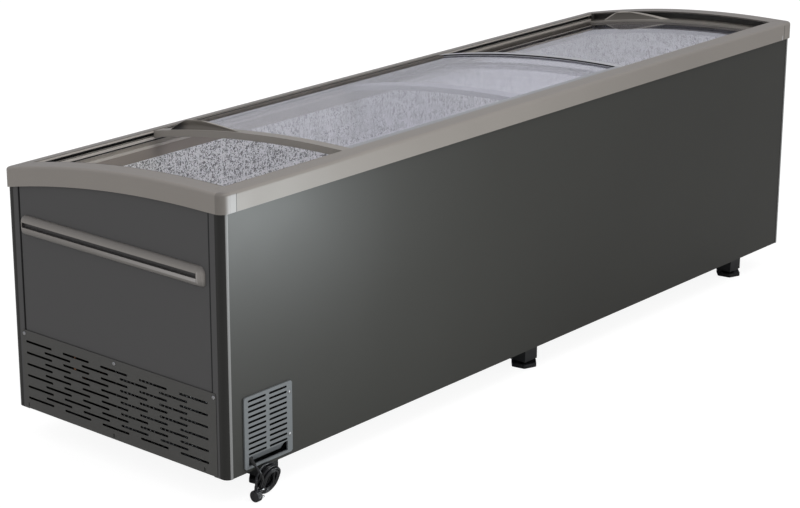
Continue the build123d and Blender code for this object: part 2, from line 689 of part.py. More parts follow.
def end_frame(end):
    """Arched moulding across an end, wrapped round both corners, with a recess for a lid's end bar."""
    plan = RectangleRounded(2 * RIM_HALF_LENGTH, 2 * RIM_HALF_WIDTH, RIM_CORNER_RADIUS)
    skirt_wall = RIM_OVERHANG - SKIRT_GAP
    hole = RectangleRounded(
        2 * (RIM_HALF_LENGTH - skirt_wall), 2 * (RIM_HALF_WIDTH - skirt_wall), RIM_CORNER_RADIUS - skirt_wall
    )
    outer = RIM_HALF_WIDTH
    inner = RAIL_INNER - SEAM
    frame = along_x(arch_band(-outer, outer, 0, RAIL_DEPTH), RAIL_HALF_LENGTH, RIM_HALF_LENGTH)
    frame += along_x(arch_band(-inner, inner, 0, RAIL_DEPTH), END_FRAME_INNER, RAIL_HALF_LENGTH)
    frame &= upright(plan, 0, RIM_TOP)
    rim_edges = [
        e for e in frame.faces().filter_by(lambda f: f.normal_at().Z > 0.7).edges()
        if abs(e.center().X) > RIM_HALF_LENGTH - RIM_CORNER_RADIUS / 2
        or (abs(e.center().Y) > RIM_HALF_WIDTH - RIM_CORNER_RADIUS / 2 and e.length < 3 * END_FRAME_WRAP)
    ]
    rim_edges = [e for e in rim_edges if abs(e.center().X) > RAIL_HALF_LENGTH + SEAM]
    frame = fillet(rim_edges, RIM_EDGE_RADIUS)
    recess_side = inner - END_RECESS_DEPTH
    recess = arch_band(-recess_side, recess_side, END_RECESS_TOP, END_RECESS_TOP + END_RECESS_HEIGHT)
    frame -= along_x(recess, END_FRAME_INNER, END_FRAME_INNER + END_RECESS_DEPTH)
    skirt = along_x(arch_band(-outer, outer, RAIL_DEPTH, RIM_BAND), RAIL_HALF_LENGTH, RIM_HALF_LENGTH)
    frame += skirt & upright(plan - hole, 0, RIM_TOP)
    return frame if end > 0 else mirror(frame, about=Plane.YZ)


class Lid:
    """One sliding lid; `end` is the side of its handle, `drop` its depth under the upper lid."""

    def __init__(self, end, drop, handle_x, tail_width):
        self.end = end
        self.drop = drop
        self.handle_x = handle_x
        self.tail_width = tail_width

    def span(self, face, start, stop):
        """An outline carried from `start` to `stop`, measured from the handle's end."""
        return along_x(face, self.handle_x - self.end * start, self.handle_x - self.end * stop)

    def band(self, front, back, top, height):
        """A strip of the lid's own arch."""
        return arch_band(front, back, self.drop + top, self.drop + top + height)

    def glass_edge(self):
        """Where the glass starts and stops along the lid."""
        return BAR_WIDTH - GLASS_BITE, LID_LENGTH - self.tail_width + GLASS_BITE

    def glass(self):
        return self.span(self.band(-GLASS_SIDE, GLASS_SIDE, GLASS_TOP, GLASS_THICKNESS), *self.glass_edge())

    def end_bar(self):
        """Cross bar at the handle's end, with a slot for the glass."""
        bar = self.span(self.band(-LID_SIDE, LID_SIDE, BAR_TOP, BAR_HEIGHT), 0, BAR_WIDTH)
        return bar - self.glass()

    def tail_bar(self, seal):
        """Cross bar at the inner end; `seal` is the room left for a seal strip."""
        section = self.band(-LID_SIDE, LID_SIDE, RUNNER_TOP, RUNNER_HEIGHT)
        return self.span(section, LID_LENGTH - self.tail_width, LID_LENGTH - seal) - self.glass()

    def tail_seal(self):
        """Wiper strip that hangs from the upper lid's inner end to just above the lower lid."""
        side = LID_SIDE - SEAL_END_GAP
        height = LID_PITCH + BAR_TOP - SEAL_LIFT - SEAL_TOP
        return self.span(self.band(-side, side, SEAL_TOP, height), LID_LENGTH - SEAL_WIDTH, LID_LENGTH)

    def runner(self, side):
        """Edge profile that holds the glass, with a tongue that slides in the rail's track."""
        def between(near, far, top, height):
            return self.band(*sorted((side * near, side * far)), top, height)

        section = between(LID_SIDE - RUNNER_WIDTH, LID_SIDE, RUNNER_TOP, RUNNER_HEIGHT)
        section -= between(LID_SIDE - RUNNER_WIDTH, GLASS_SIDE, GLASS_TOP, GLASS_THICKNESS)
        tongue_top = TRACK_TOP + TONGUE_TOP_PLAY
        tongue = TRACK_HEIGHT - TONGUE_TOP_PLAY - TONGUE_SEAT_GAP
        section += between(LID_SIDE, TONGUE_SIDE, tongue_top, tongue)
        return self.span(section, BAR_WIDTH, LID_LENGTH - self.tail_width)

    def handle(self):
        """Low wing on the end bar: two arcs that meet smoothly at its highest point."""
        base = self.drop + BAR_TOP

        def top(y):
            run = abs(y - HANDLE_APEX)
            reach = HANDLE_APEX - HANDLE_FRONT if y < HANDLE_APEX else HANDLE_BACK - HANDLE_APEX
            fall = HANDLE_RISE - HANDLE_TIP_RISE
            radius = (reach**2 + fall**2) / (2 * fall)
            return y, arch_z(y, base) + HANDLE_RISE - radius + sqrt(radius**2 - run**2)

        def arc(a, b):
            return ThreePointArc(top(a), top((a + b) / 2), top(b))

        tips = [Line((y, arch_z(y, base)), top(y)) for y in (HANDLE_FRONT, HANDLE_BACK)]
        edges = arch_edges(HANDLE_FRONT, HANDLE_BACK, base) + tips
        face = make_face(edges + [arc(HANDLE_FRONT, HANDLE_APEX), arc(HANDLE_APEX, HANDLE_BACK)])
        wing = self.span(face, HANDLE_INSET, HANDLE_INSET + HANDLE_THICKNESS)
        crest = [
            e for e in wing.edges()
            if e.geom_type == GeomType.CIRCLE and e.center().Z > arch_z(e.center().Y, base) + HANDLE_TIP_RISE
        ]
        return fillet(crest, HANDLE_ROUND)


def compressor():
    """Hermetic compressor: a domed pot on a foot plate, with its two tube stubs."""
    x, y = COMPRESSOR_AT
    length, width, sheet = COMPRESSOR_PLATE
    plate_z = TRAY_TOP + GROMMET_HEIGHT
    plate = Pos(x, y, plate_z + sheet / 2) * Box(length, width, sheet)
    base = plate_z + sheet
    pot = rod_z(x, y, base, base + COMPRESSOR_HEIGHT, COMPRESSOR_RADIUS)
    pot = fillet(pot.edges().group_by(Axis.Z)[-1], COMPRESSOR_DOME)
    return plate + pot


def compressor_grommets():
    """Rubber feet between the compressor's plate and the tray."""
    x, y = COMPRESSOR_AT
    dx, dy = (v / 2 for v in GROMMET_SPREAD)
    return [
        rod_z(x + i * dx, y + j * dy, TRAY_TOP, TRAY_TOP + GROMMET_HEIGHT, GROMMET_RADIUS)
        for i in (-1, 1) for j in (-1, 1)
    ]


def condenser_box():
    """Low and high corners of the condenser's space, just behind the grille."""
    x1 = HALF_LENGTH - CONDENSER_FACE_GAP
    y1 = HALF_WIDTH - CONDENSER_FROM_BACK
    return (x1 - CONDENSER_DEPTH, y1 - CONDENSER_WIDTH, TRAY_TOP), (x1, y1, TRAY_TOP + CONDENSER_HEIGHT)


def condenser():
    """Fin block: upright fins on rows of tube, between two end plates that stand on the tray."""
    (x0, y0, z0), (x1, y1, z1) = condenser_box()
    t = CONDENSER_PLATE
    plates = [slab(x0, x1, y, y + t, z0, z1) for y in (y0, y1 - t)]
    pitch = (y1 - y0) / (CONDENSER_FINS + 1)
    margin = CONDENSER_TUBE_RADIUS * 2
    inset = CONDENSER_FIN_INSET
    fins = [
        slab(x0 + inset, x1 - inset, y - CONDENSER_FIN / 2, y + CONDENSER_FIN / 2, z0 + margin, z1 - margin)
        for y in (y0 + pitch * (i + 1) for i in range(CONDENSER_FINS))
    ]
    row = (z1 - z0) / CONDENSER_TUBE_ROWS
    xm = (x0 + x1) / 2
    tubes = [
        rod_y(xm, y0 - margin, y1 + margin, z0 + row * (i + 0.5), CONDENSER_TUBE_RADIUS)
        for i in range(CONDENSER_TUBE_ROWS)
    ]
    return tubes[0].fuse(*tubes[1:], *plates, *fins)


def fan_axis():
    """Line of the fan's shaft: its height, its side place and the x of the blades' middle."""
    (x0, y0, z0), (x1, y1, z1) = condenser_box()
    return x0 - FAN_GAP - FAN_HUB_LENGTH / 2, (y0 + y1) / 2, (z0 + z1) / 2


def fan_blade():
    """Axial fan: a hub bored for the shaft and pitched flat blades."""
    x, y, z = fan_axis()
    hub = Cylinder(FAN_HUB_RADIUS, FAN_HUB_LENGTH)
    reach = FAN_RADIUS - FAN_HUB_RADIUS / 2
    blade = Pos(FAN_HUB_RADIUS / 2 + reach / 2, 0, 0) * Rot(FAN_BLADE_PITCH, 0, 0) * Box(
        reach, FAN_BLADE_CHORD, FAN_BLADE_SHEET
    )
    blades = [Rot(0, 0, 360 / FAN_BLADES * i) * blade for i in range(FAN_BLADES)]
    fan = hub.fuse(*blades) - Cylinder(FAN_SHAFT_RADIUS + FAN_SHAFT_CLEARANCE, 2 * FAN_HUB_LENGTH)
    return Pos(x, y, z) * Rot(0, 90, 0) * fan


def fan_motor():
    """Shaded-pole motor behind the blades, with its shaft."""
    x, y, z = fan_axis()
    face = x - FAN_HUB_LENGTH / 2 - FAN_MOTOR_GAP
    can = rod_x(face - FAN_MOTOR_LENGTH, face, y, z, FAN_MOTOR_RADIUS)
    can = fillet(can.edges().filter_by(GeomType.CIRCLE), FAN_MOTOR_GAP)
    return can + rod_x(face, x + FAN_HUB_LENGTH / 2, y, z, FAN_SHAFT_RADIUS)


def fan_bracket():
    """Folded strap that stands on the tray and carries the motor on its back."""
    x, y, z = fan_axis()
    back = x - FAN_HUB_LENGTH / 2 - FAN_MOTOR_GAP - FAN_MOTOR_LENGTH
    half = FAN_BRACKET_WIDTH / 2
    t = FAN_BRACKET_SHEET
    strap = slab(back - t, back, y - half, y + half, TRAY_TOP, z + FAN_MOTOR_RADIUS)
    return strap + slab(back - FAN_BRACKET_FOOT, back, y - half, y + half, TRAY_TOP, TRAY_TOP + t)


def filter_drier():
    """Copper drier: an upright can with necked ends."""
    x, y, z = DRIER_AT
    half = DRIER_LENGTH / 2
    can = rod_z(x, y, z - half, z + half, DRIER_RADIUS)
    return chamfer(can.edges().filter_by(GeomType.CIRCLE), DRIER_RADIUS - TUBE_RADIUS - DRIER_LIP, DRIER_RADIUS)


def refrigerant_tubes():
    """Discharge, liquid and suction tubes between the compressor, condenser, drier and bulkhead."""
    cx, cy = COMPRESSOR_AT
    (x0, y0, z0), (x1, y1, z1) = condenser_box()
    row = (z1 - z0) / CONDENSER_TUBE_ROWS
    stub = y0 - 2 * CONDENSER_TUBE_RADIUS
    xm = (x0 + x1) / 2
    pot_z = TRAY_TOP + GROMMET_HEIGHT + COMPRESSOR_PLATE[2] + COMPRESSOR_HEIGHT / 2
    top = z1 - row / 2
    low = z0 + row / 2
    clear = 2 * TUBE_BEND + TUBE_RADIUS
    dx, dy, dz = DRIER_AT
    drier_low = dz - DRIER_LENGTH / 2
    drier_high = dz + DRIER_LENGTH / 2
    discharge = [
        (cx + COMPRESSOR_RADIUS, cy, pot_z), (xm, cy, pot_z), (xm, cy, top), (xm, stub, top),
    ]
    liquid = [
        (xm, stub, low), (xm, stub - clear, low), (dx, stub - clear, low), (dx, dy, low), (dx, dy, drier_low),
    ]
    capillary = [
        (dx, dy, drier_high), (dx, dy, drier_high + clear / 2), (BULKHEAD_X + SHEET, dy, drier_high + clear / 2),
    ]
    suction = [
        (cx, cy + COMPRESSOR_RADIUS, pot_z), (cx, cy + COMPRESSOR_RADIUS + clear, pot_z),
        (BULKHEAD_X + SHEET, cy + COMPRESSOR_RADIUS + clear, pot_z),
    ]
    return [tube(route, TUBE_RADIUS, TUBE_BEND) for route in (discharge, liquid, capillary, suction)]


def control_box():
    """Terminal and thermostat box on the bulkhead."""
    length, width, height = CONTROL_BOX
    x0 = BULKHEAD_X + SHEET
    z0 = TRAY_TOP + CONTROL_BOX_LIFT
    y1 = HALF_WIDTH - CONTROL_BOX_FROM_BACK
    box = slab(x0, x0 + length, y1 - width, y1, z0, z0 + height)
    return fillet(box.faces().sort_by(Axis.X)[-1].edges(), CONTROL_BOX_ROUND)


def gland_nose():
    """Outer end of the gland, where the cord comes out."""
    return gland_axis().offset(GLAND_NOSE)


def cord_gland():
    """Rubber gland: a body in the pocket's slope, a flange on it and a tapered nose."""
    profile = Polyline(
        (0, -GLAND_INSIDE), (GLAND_RADIUS, -GLAND_INSIDE), (GLAND_RADIUS, 0), (GLAND_FLANGE_RADIUS, 0),
        (GLAND_FLANGE_RADIUS, GLAND_FLANGE), (GLAND_RADIUS, GLAND_FLANGE), (GLAND_NOSE_RADIUS, GLAND_NOSE),
        (0, GLAND_NOSE), close=True,
    )
    return gland_axis() * revolve(Plane.XZ * make_face(profile), Axis.Z)


def hank_frame():
    """The hank's plane: x to the viewer's right, y up along it, z out of its front."""
    lean = radians(HANK_TILT)
    return Plane(by_corner(HANK_CENTRE), x_dir=(-1, 0, 0), z_dir=(0, cos(lean), -sin(lean)))


def biarc(start, leaving, stop, arriving):
    """Two arcs that leave `start` along one direction and reach `stop` along another."""
    across = stop - start
    both = leaving + arriving
    spare = 2 * (1 - leaving.dot(arriving))
    along = across.dot(both)
    if spare < 1e-9:
        reach = across.dot(across) / (2 * along)
    else:
        reach = (sqrt(along**2 + spare * across.dot(across)) - along) / spare
    a = start + leaving * reach
    b = stop - arriving * reach
    middle = (a + b) * 0.5
    return [
        TangentArc(start, middle, tangent=leaving),
        TangentArc(middle, stop, tangent=(b - a).normalized()),
    ]


def hank_path():
    """Centre line of the hank: flat half turns on straight runs, winding in, out, in and out again.

    Each layer steps to the next along the straight run where the winding turns round. The last
    half turn stops at its top, in a short straight run, where the tail goes on.
    """
    frame = hank_frame()
    half = HANK_STRAIGHT / 2
    step = HANK_PITCH / 2
    up = frame.y_dir

    def at(x, y, layer):
        return frame.from_local_coords(Vector(x, y, ((HANK_LAYERS - 1) / 2 - layer) * HANK_PITCH))

    side = -1
    reach = HANK_HALF_WIDTH
    edges = [Line(at(-reach, half - HANK_START, 0), at(-reach, -half, 0))]
    for layer in range(HANK_LAYERS):
        growth = -step if layer % 2 == 0 else step
        for turn in range(HANK_HALF_TURNS):
            level = side * half
            start = at(side * reach, level, layer)
            after = reach + growth
            centre = side * (reach - after) / 2
            radius = (reach + after) / 2
            crown = at(centre, level + side * radius, layer)
            stop = at(-side * after, level, layer)
            last = layer == HANK_LAYERS - 1 and turn == HANK_HALF_TURNS - 1
            if last:
                edges.append(TangentArc(start, crown, tangent=up * side))
                edges.append(Line(crown, at(centre - side * 2 * CORD_RADIUS, level + side * radius, layer)))
                return edges
            edges.append(ThreePointArc(start, crown, stop))
            side = -side
            reach = after
            here = at(side * reach, -side * half, layer)
            if turn < HANK_HALF_TURNS - 1:
                edges.append(Line(here, at(side * reach, side * half, layer)))
            else:
                edges += biarc(here, up * side, at(side * reach, side * half, layer + 1), up * side)
    return edges


def least_gap(edges, diameter):
    """Least clear gap between two stretches of a tube, measured on points along its centre line."""
    spacing = diameter / 4
    points = []
    for edge in edges:
        count = max(2, ceil(edge.length / spacing))
        points += [tuple(edge.position_at(i / count)) for i in range(count)]
    cloud = np.array(points)
    apart = np.linalg.norm(cloud[:, None, :] - cloud[None, :, :], axis=2)
    index = np.arange(len(cloud))
    near = np.abs(index[:, None] - index[None, :]) * spacing < 3 * diameter
    apart[near] = np.inf
    return apart.min() - diameter


def swept(edges, radius):
    """A round tube along an unbroken chain of edges."""
    path = Wire(edges)
    return sweep(Plane(origin=path @ 0, z_dir=path % 0) * Circle(radius), path=path)


def cord_tube(name, points):
    """A free stretch of cord: straight runs, and arcs as large as each corner allows."""
    points = [Vector(*p) for p in points]
    radii = []
    for a, b, c in zip(points, points[1:], points[2:]):
        turn = radians((b - a).get_angle(c - b))
        shorter = min((b - a).length, (c - b).length)
        radii.append(CORD_ARC_SHARE * shorter / tan(turn / 2))
    path = FilletPolyline(*points, radius=radii)
    solid = sweep(Plane(origin=path @ 0, z_dir=path % 0) * Circle(CORD_RADIUS), path=path)
    share = solid.volume / (path.length * Circle(CORD_RADIUS).area)
    print(name, "length", round(path.length, 1), "radii", [round(r, 1) for r in radii], "volume", round(share, 4))
    return solid


def lead_points(hank):
    """Route of the lead, from the gland's nose to the hank's first run."""
    nose = gland_nose()
    start = hank[0] @ 0
    back = hank[0] % 0
    middle = [by_corner(p) for p in LEAD_POINTS]
    first = nose.origin + nose.z_dir * LEAD_FIRST_RUN
    return [nose.origin, first, *middle, start - back * LEAD_LAST_RUN, start]


def tail_points(hank):
    """Route of the tail, from the hank's last quarter turn to the plug's neck."""
    stop = hank[-1] @ 1
    ahead = hank[-1] % 1
    middle = [by_corner(p) for p in TAIL_POINTS]
    neck = by_corner(PLUG_CENTRE) + Vector(0, 0, PLUG_NECK)
    return [stop, stop + ahead * TAIL_FIRST_RUN, *middle, neck + Vector(0, 0, TAIL_LAST_RUN), neck]


def plug():
    """Round side-entry plug standing on its rim, with a tapered neck and two pins."""
    half = PLUG_THICKNESS / 2
    body = Rot(0, 90, 0) * Cylinder(PLUG_RADIUS, PLUG_THICKNESS)
    body = fillet(body.edges().filter_by(GeomType.CIRCLE), PLUG_ROUND)
    neck = Polyline((0, 0), (PLUG_NECK_RADIUS, 0), (PLUG_NECK_TIP, PLUG_NECK), (0, PLUG_NECK), close=True)
    body += revolve(Plane.XZ * make_face(neck), Axis.Z)
    spread = PLUG_PIN_SPREAD / 2
    pins = [rod_x(-half - PLUG_PIN_LENGTH, 0, 0, s * spread, PLUG_PIN_RADIUS) for s in (-1, 1)]
    return Pos(*by_corner(PLUG_CENTRE)) * (body + pins)


def cabinet():
    """Skins, posts, grips, grille and vent cover."""
    holes = screw_holes()
    export("back_panel", long_panel(1) - vent_window() - holes)
    export("front_panel", long_panel(-1))
    for end_name, end in ENDS.items():
        for side_name, side in SIDES.items():
            export(f"corner_post_{end_name}_{side_name}", corner_post(end, side) - holes)
        export(f"{end_name}_end_grip", end_grip(end))
    export("service_end_panel", end_panel(1, GRILLE_TOP - GRILLE_TUCK) - holes)
    export("far_end_panel", end_panel(-1, BASE_HEIGHT))
    export("service_grille", grille() - holes)
    export("cover_screws", cover_screws())
    export("vent_cover", vent_cover())
    export("base_tray", upright(CORE_PLAN, BASE_HEIGHT, TRAY_TOP))


def feet():
    """Channels, levelling feet and their nuts."""
    for name, x in FOOT_ROWS.items():
        export(f"foot_channel_{name}", foot_channel(x))
    for name, place in foot_places().items():
        export(f"foot_{name}", foot(*place))
    export("foot_nuts", [foot_nut(*place) for place in foot_places().values()])


def insulated_tank():
    """Liner, breaker strips, evaporator and foam."""
    strips = breaker_strips()
    evaporator = evaporator_tube()
    export("inner_liner", inner_liner())
    export("breaker_strips", strips)
    export("evaporator_tube", evaporator)
    export("foam_insulation", foam_insulation(tank(LINER_WALL), strips, evaporator))


def rim():
    """Long rails and end frames."""
    for name, side in SIDES.items():
        export(f"{name}_rail", long_rail(side))
    for name, end in ENDS.items():
        export(f"{name}_end_frame", end_frame(end))


def lids():
    """The upper lid, slid open, and the lower lid, closed."""
    upper = Lid(1, 0, LID_CLOSED_END - UPPER_LID_OPEN, UPPER_TAIL_WIDTH + SEAL_WIDTH)
    lower = Lid(-1, LID_PITCH, -LID_CLOSED_END, LOWER_TAIL_WIDTH)
    for name, lid, seal in (("upper", upper, SEAL_WIDTH), ("lower", lower, 0)):
        export(f"{name}_glass", lid.glass())
        export(f"{name}_end_bar", lid.end_bar())
        export(f"{name}_tail_bar", lid.tail_bar(seal))
        export(f"{name}_handle", lid.handle())
        for side_name, side in SIDES.items():
            export(f"{name}_{side_name}_runner", lid.runner(side))
    export("upper_tail_seal", upper.tail_seal())


def machine():
    """Refrigeration machine in its compartment."""
    export("machine_bulkhead", machine_bulkhead())
    export("compressor", compressor())
    export("compressor_grommets", compressor_grommets())
    export("condenser", condenser())
    export("fan_bracket", fan_bracket())
    export("fan_motor", fan_motor())
    export("fan_blade", fan_blade())
    export("filter_drier", filter_drier())
    export("refrigerant_tubes", refrigerant_tubes())
    export("control_box", control_box())


def mains_cord():
    """Gland, lead, hank, tail and plug."""
    hank = hank_path()
    length = sum(edge.length for edge in hank)
    solid = swept(hank, CORD_RADIUS)
    share = solid.volume / (length * Circle(CORD_RADIUS).area)
    gap = least_gap(hank, 2 * CORD_RADIUS)
    print("hank length", round(length, 1), "least gap", round(gap, 3), "volume", round(share, 4))
    export("cord_gland", cord_gland())
    export("cord_lead", cord_tube("lead", lead_points(hank)))
    export("cord_hank", solid)
    export("cord_tail", cord_tube("tail", tail_points(hank)))
    export("plug", plug())


os.makedirs("parts", exist_ok=True)
cabinet()
feet()
insulated_tank()
rim()
lids()
machine()
mains_cord()
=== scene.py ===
# %% [markdown]
# # Island display freezer
# A long chest freezer for a shop floor: two curved glass lids slide over a tank of embossed
# aluminium, and the machine sits behind the grille at the service end. The construction is already
# packed at its real size, so nothing here is moved or resized. This notebook sets the camera, lays
# the mains cord, works out each finish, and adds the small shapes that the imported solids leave
# plain.

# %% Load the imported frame
import json
from math import cos, pi, radians, sin

import bmesh
import bpy
import numpy as np
from mathutils import Matrix, Vector


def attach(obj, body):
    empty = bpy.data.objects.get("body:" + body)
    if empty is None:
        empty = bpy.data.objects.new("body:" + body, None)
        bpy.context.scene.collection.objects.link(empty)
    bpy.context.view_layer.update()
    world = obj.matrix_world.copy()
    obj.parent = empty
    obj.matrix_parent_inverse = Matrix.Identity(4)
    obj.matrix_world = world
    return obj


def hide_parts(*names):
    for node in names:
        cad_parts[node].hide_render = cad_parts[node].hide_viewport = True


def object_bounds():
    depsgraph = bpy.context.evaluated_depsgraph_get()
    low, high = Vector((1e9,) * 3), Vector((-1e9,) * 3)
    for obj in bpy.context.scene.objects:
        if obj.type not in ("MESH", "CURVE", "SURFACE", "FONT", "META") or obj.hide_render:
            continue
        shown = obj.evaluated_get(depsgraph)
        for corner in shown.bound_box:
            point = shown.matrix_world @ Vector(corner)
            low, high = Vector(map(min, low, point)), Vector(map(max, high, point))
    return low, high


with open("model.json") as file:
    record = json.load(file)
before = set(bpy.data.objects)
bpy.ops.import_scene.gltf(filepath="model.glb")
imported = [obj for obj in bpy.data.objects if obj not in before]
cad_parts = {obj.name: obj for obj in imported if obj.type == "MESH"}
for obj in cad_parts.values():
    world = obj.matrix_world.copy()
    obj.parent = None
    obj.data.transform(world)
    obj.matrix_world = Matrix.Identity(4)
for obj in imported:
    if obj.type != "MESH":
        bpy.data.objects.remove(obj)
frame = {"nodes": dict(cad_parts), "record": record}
cad_low, cad_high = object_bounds()
nodes = frame["nodes"]
scene = bpy.context.scene
MM = 0.001

# %% [markdown]
# ## The camera
# The photograph was taken with a long lens from above the machine's corner. A camera can be pointed
# with a constraint or by hand, but here its place and direction were measured from the straight
# edges of the cabinet, so they are written as plain numbers. The lens follows from the focal length
# counted in pixels of the photograph.

# %% Camera at the photograph's viewpoint
PHOTO_WIDTH = 800
FOCAL_PIXELS = 2244.0
SENSOR_WIDTH = 36.0
CAMERA_AT = Vector((4.7232, 3.8823, 2.2484))
CAMERA_LOOK = Vector((-0.72376, -0.61673, -0.30954))
CAMERA_ROLL = radians(0.13)


def photo_camera():
    """Place the camera: look along CAMERA_LOOK with the horizon level, then roll about that line."""
    data = bpy.data.cameras.new("photo_camera")
    data.sensor_width = SENSOR_WIDTH
    data.lens = FOCAL_PIXELS * SENSOR_WIDTH / PHOTO_WIDTH
    camera = bpy.data.objects.new("photo_camera", data)
    level = CAMERA_LOOK.to_track_quat("-Z", "Y").to_matrix().to_4x4()
    camera.matrix_world = Matrix.Translation(CAMERA_AT) @ level @ Matrix.Rotation(CAMERA_ROLL, 4, "Z")
    scene.collection.objects.link(camera)
    scene.camera = camera
    return camera


print("lens", round(photo_camera().data.lens, 2), "mm")

# %% [markdown]
# ## Surfaces from grids
# Every new piece is a grid of points worked out as whole arrays: a profile turned about an axis, or
# a section carried along a line. One helper turns grids into an object, merges the points that meet
# at seams and poles, turns the faces outwards and marks the sharp edges, so that each piece below
# only has to say what its formula is.

# %% Grid helpers
CREASE = radians(38)
MERGE_WITHIN = 1e-6
SPLINTER = 1e-7
finishes = {}


def quads(rows, columns, wrap):
    """Corner numbers of a grid's faces; with wrap, the last column joins the first."""
    i = np.arange(rows - 1)[:, None]
    j = np.arange(columns if wrap else columns - 1)[None, :]
    k = (j + 1) % columns
    corners = (i * columns + j, i * columns + k, (i + 1) * columns + k, (i + 1) * columns + j)
    return np.stack(np.broadcast_arrays(*corners), -1).reshape(-1, 4)


def settle(thing, slot, body, replaced=()):
    """Give a finished object its slot's material, attach it to its body and hide the nodes it replaces.
    """
    thing.data.materials.append(finishes[slot])
    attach(thing, body)
    if replaced:
        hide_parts(*replaced)
    print("made", thing.name)
    return thing


def piece(name, grids, slot, body, replaced=()):
    """An object from grids, each (points, wrap), riding on a body and standing for CAD nodes."""
    points, faces, start = [], [], 0
    for grid, wrap in grids:
        rows, columns = grid.shape[:2]
        points.append(grid.reshape(-1, 3))
        faces.append(quads(rows, columns, wrap) + start)
        start += rows * columns
    mesh = bpy.data.meshes.new(name)
    mesh.from_pydata(np.concatenate(points).tolist(), [], np.concatenate(faces).tolist())
    work = bmesh.new()
    work.from_mesh(mesh)
    bmesh.ops.remove_doubles(work, verts=work.verts, dist=MERGE_WITHIN)
    bmesh.ops.dissolve_degenerate(work, edges=work.edges, dist=SPLINTER)
    bmesh.ops.recalc_face_normals(work, faces=work.faces)
    work.to_mesh(mesh)
    work.free()
    mesh.shade_smooth()
    mesh.set_sharp_from_angle(angle=CREASE)
    thing = bpy.data.objects.new(name, mesh)
    scene.collection.objects.link(thing)
    return settle(thing, slot, body, replaced)


def placed(local, place):
    """Points in a piece's own frame, moved to where `place` puts that frame."""
    matrix = np.array(place)
    return local @ matrix[:3, :3].T + matrix[:3, 3]


def full_turn(count):
    """Equal steps of angle once round a circle."""
    return np.linspace(0, 2 * pi, count, endpoint=False)


def quarter_turn(count):
    """Equal steps of angle from 0 to a right angle, for a rounded edge."""
    return np.linspace(0, pi / 2, count)


def turned(profile, place, count):
    """A profile of (radius, height) turned about the z axis of `place`, a 4 by 4 matrix.

    Point (i, j) is radius i times (cos, sin) of angle j, at height i. A radius may be an array with
    one value for each angle, so that a section need not be round.
    """
    angle = full_turn(count)
    radius = np.array([np.broadcast_to(r, count) for r, _ in profile])
    height = np.array([np.broadcast_to(h, count) for _, h in profile])
    local = np.stack((radius * np.cos(angle), radius * np.sin(angle), height), -1)
    return placed(local, place), True


def frame_at(origin, out, right=(1, 0, 0)):
    """A matrix whose z axis points along `out` and whose x axis lies near `right`."""
    z = Vector(out).normalized()
    y = z.cross(Vector(right)).normalized()
    x = y.cross(z)
    turn = Matrix((x, y, z)).transposed().to_4x4()
    return Matrix.Translation(Vector(origin)) @ turn


# %% [markdown]
# ## A short way to write finishes
# A material could be painted or read from pictures, but procedural nodes stay sharp at any distance
# and need no files. Each finish is one Principled shader whose colour, roughness and bump vary with
# the object's own coordinates in metres, so a noise scale of 500 means grains of about two
# millimetres. A patch of another colour is laid over it where a mask is 1, and a mask is a product
# of plain tests on those coordinates. The class below only saves typing.

# %% Finish helper
SHINE = 0.5
# The mix node has sockets for several kinds of value; these are the numbers of those for colour.
MIX_SHARE = 0
MIX_FIRST = 6
MIX_SECOND = 7
MIX_RESULT = 2


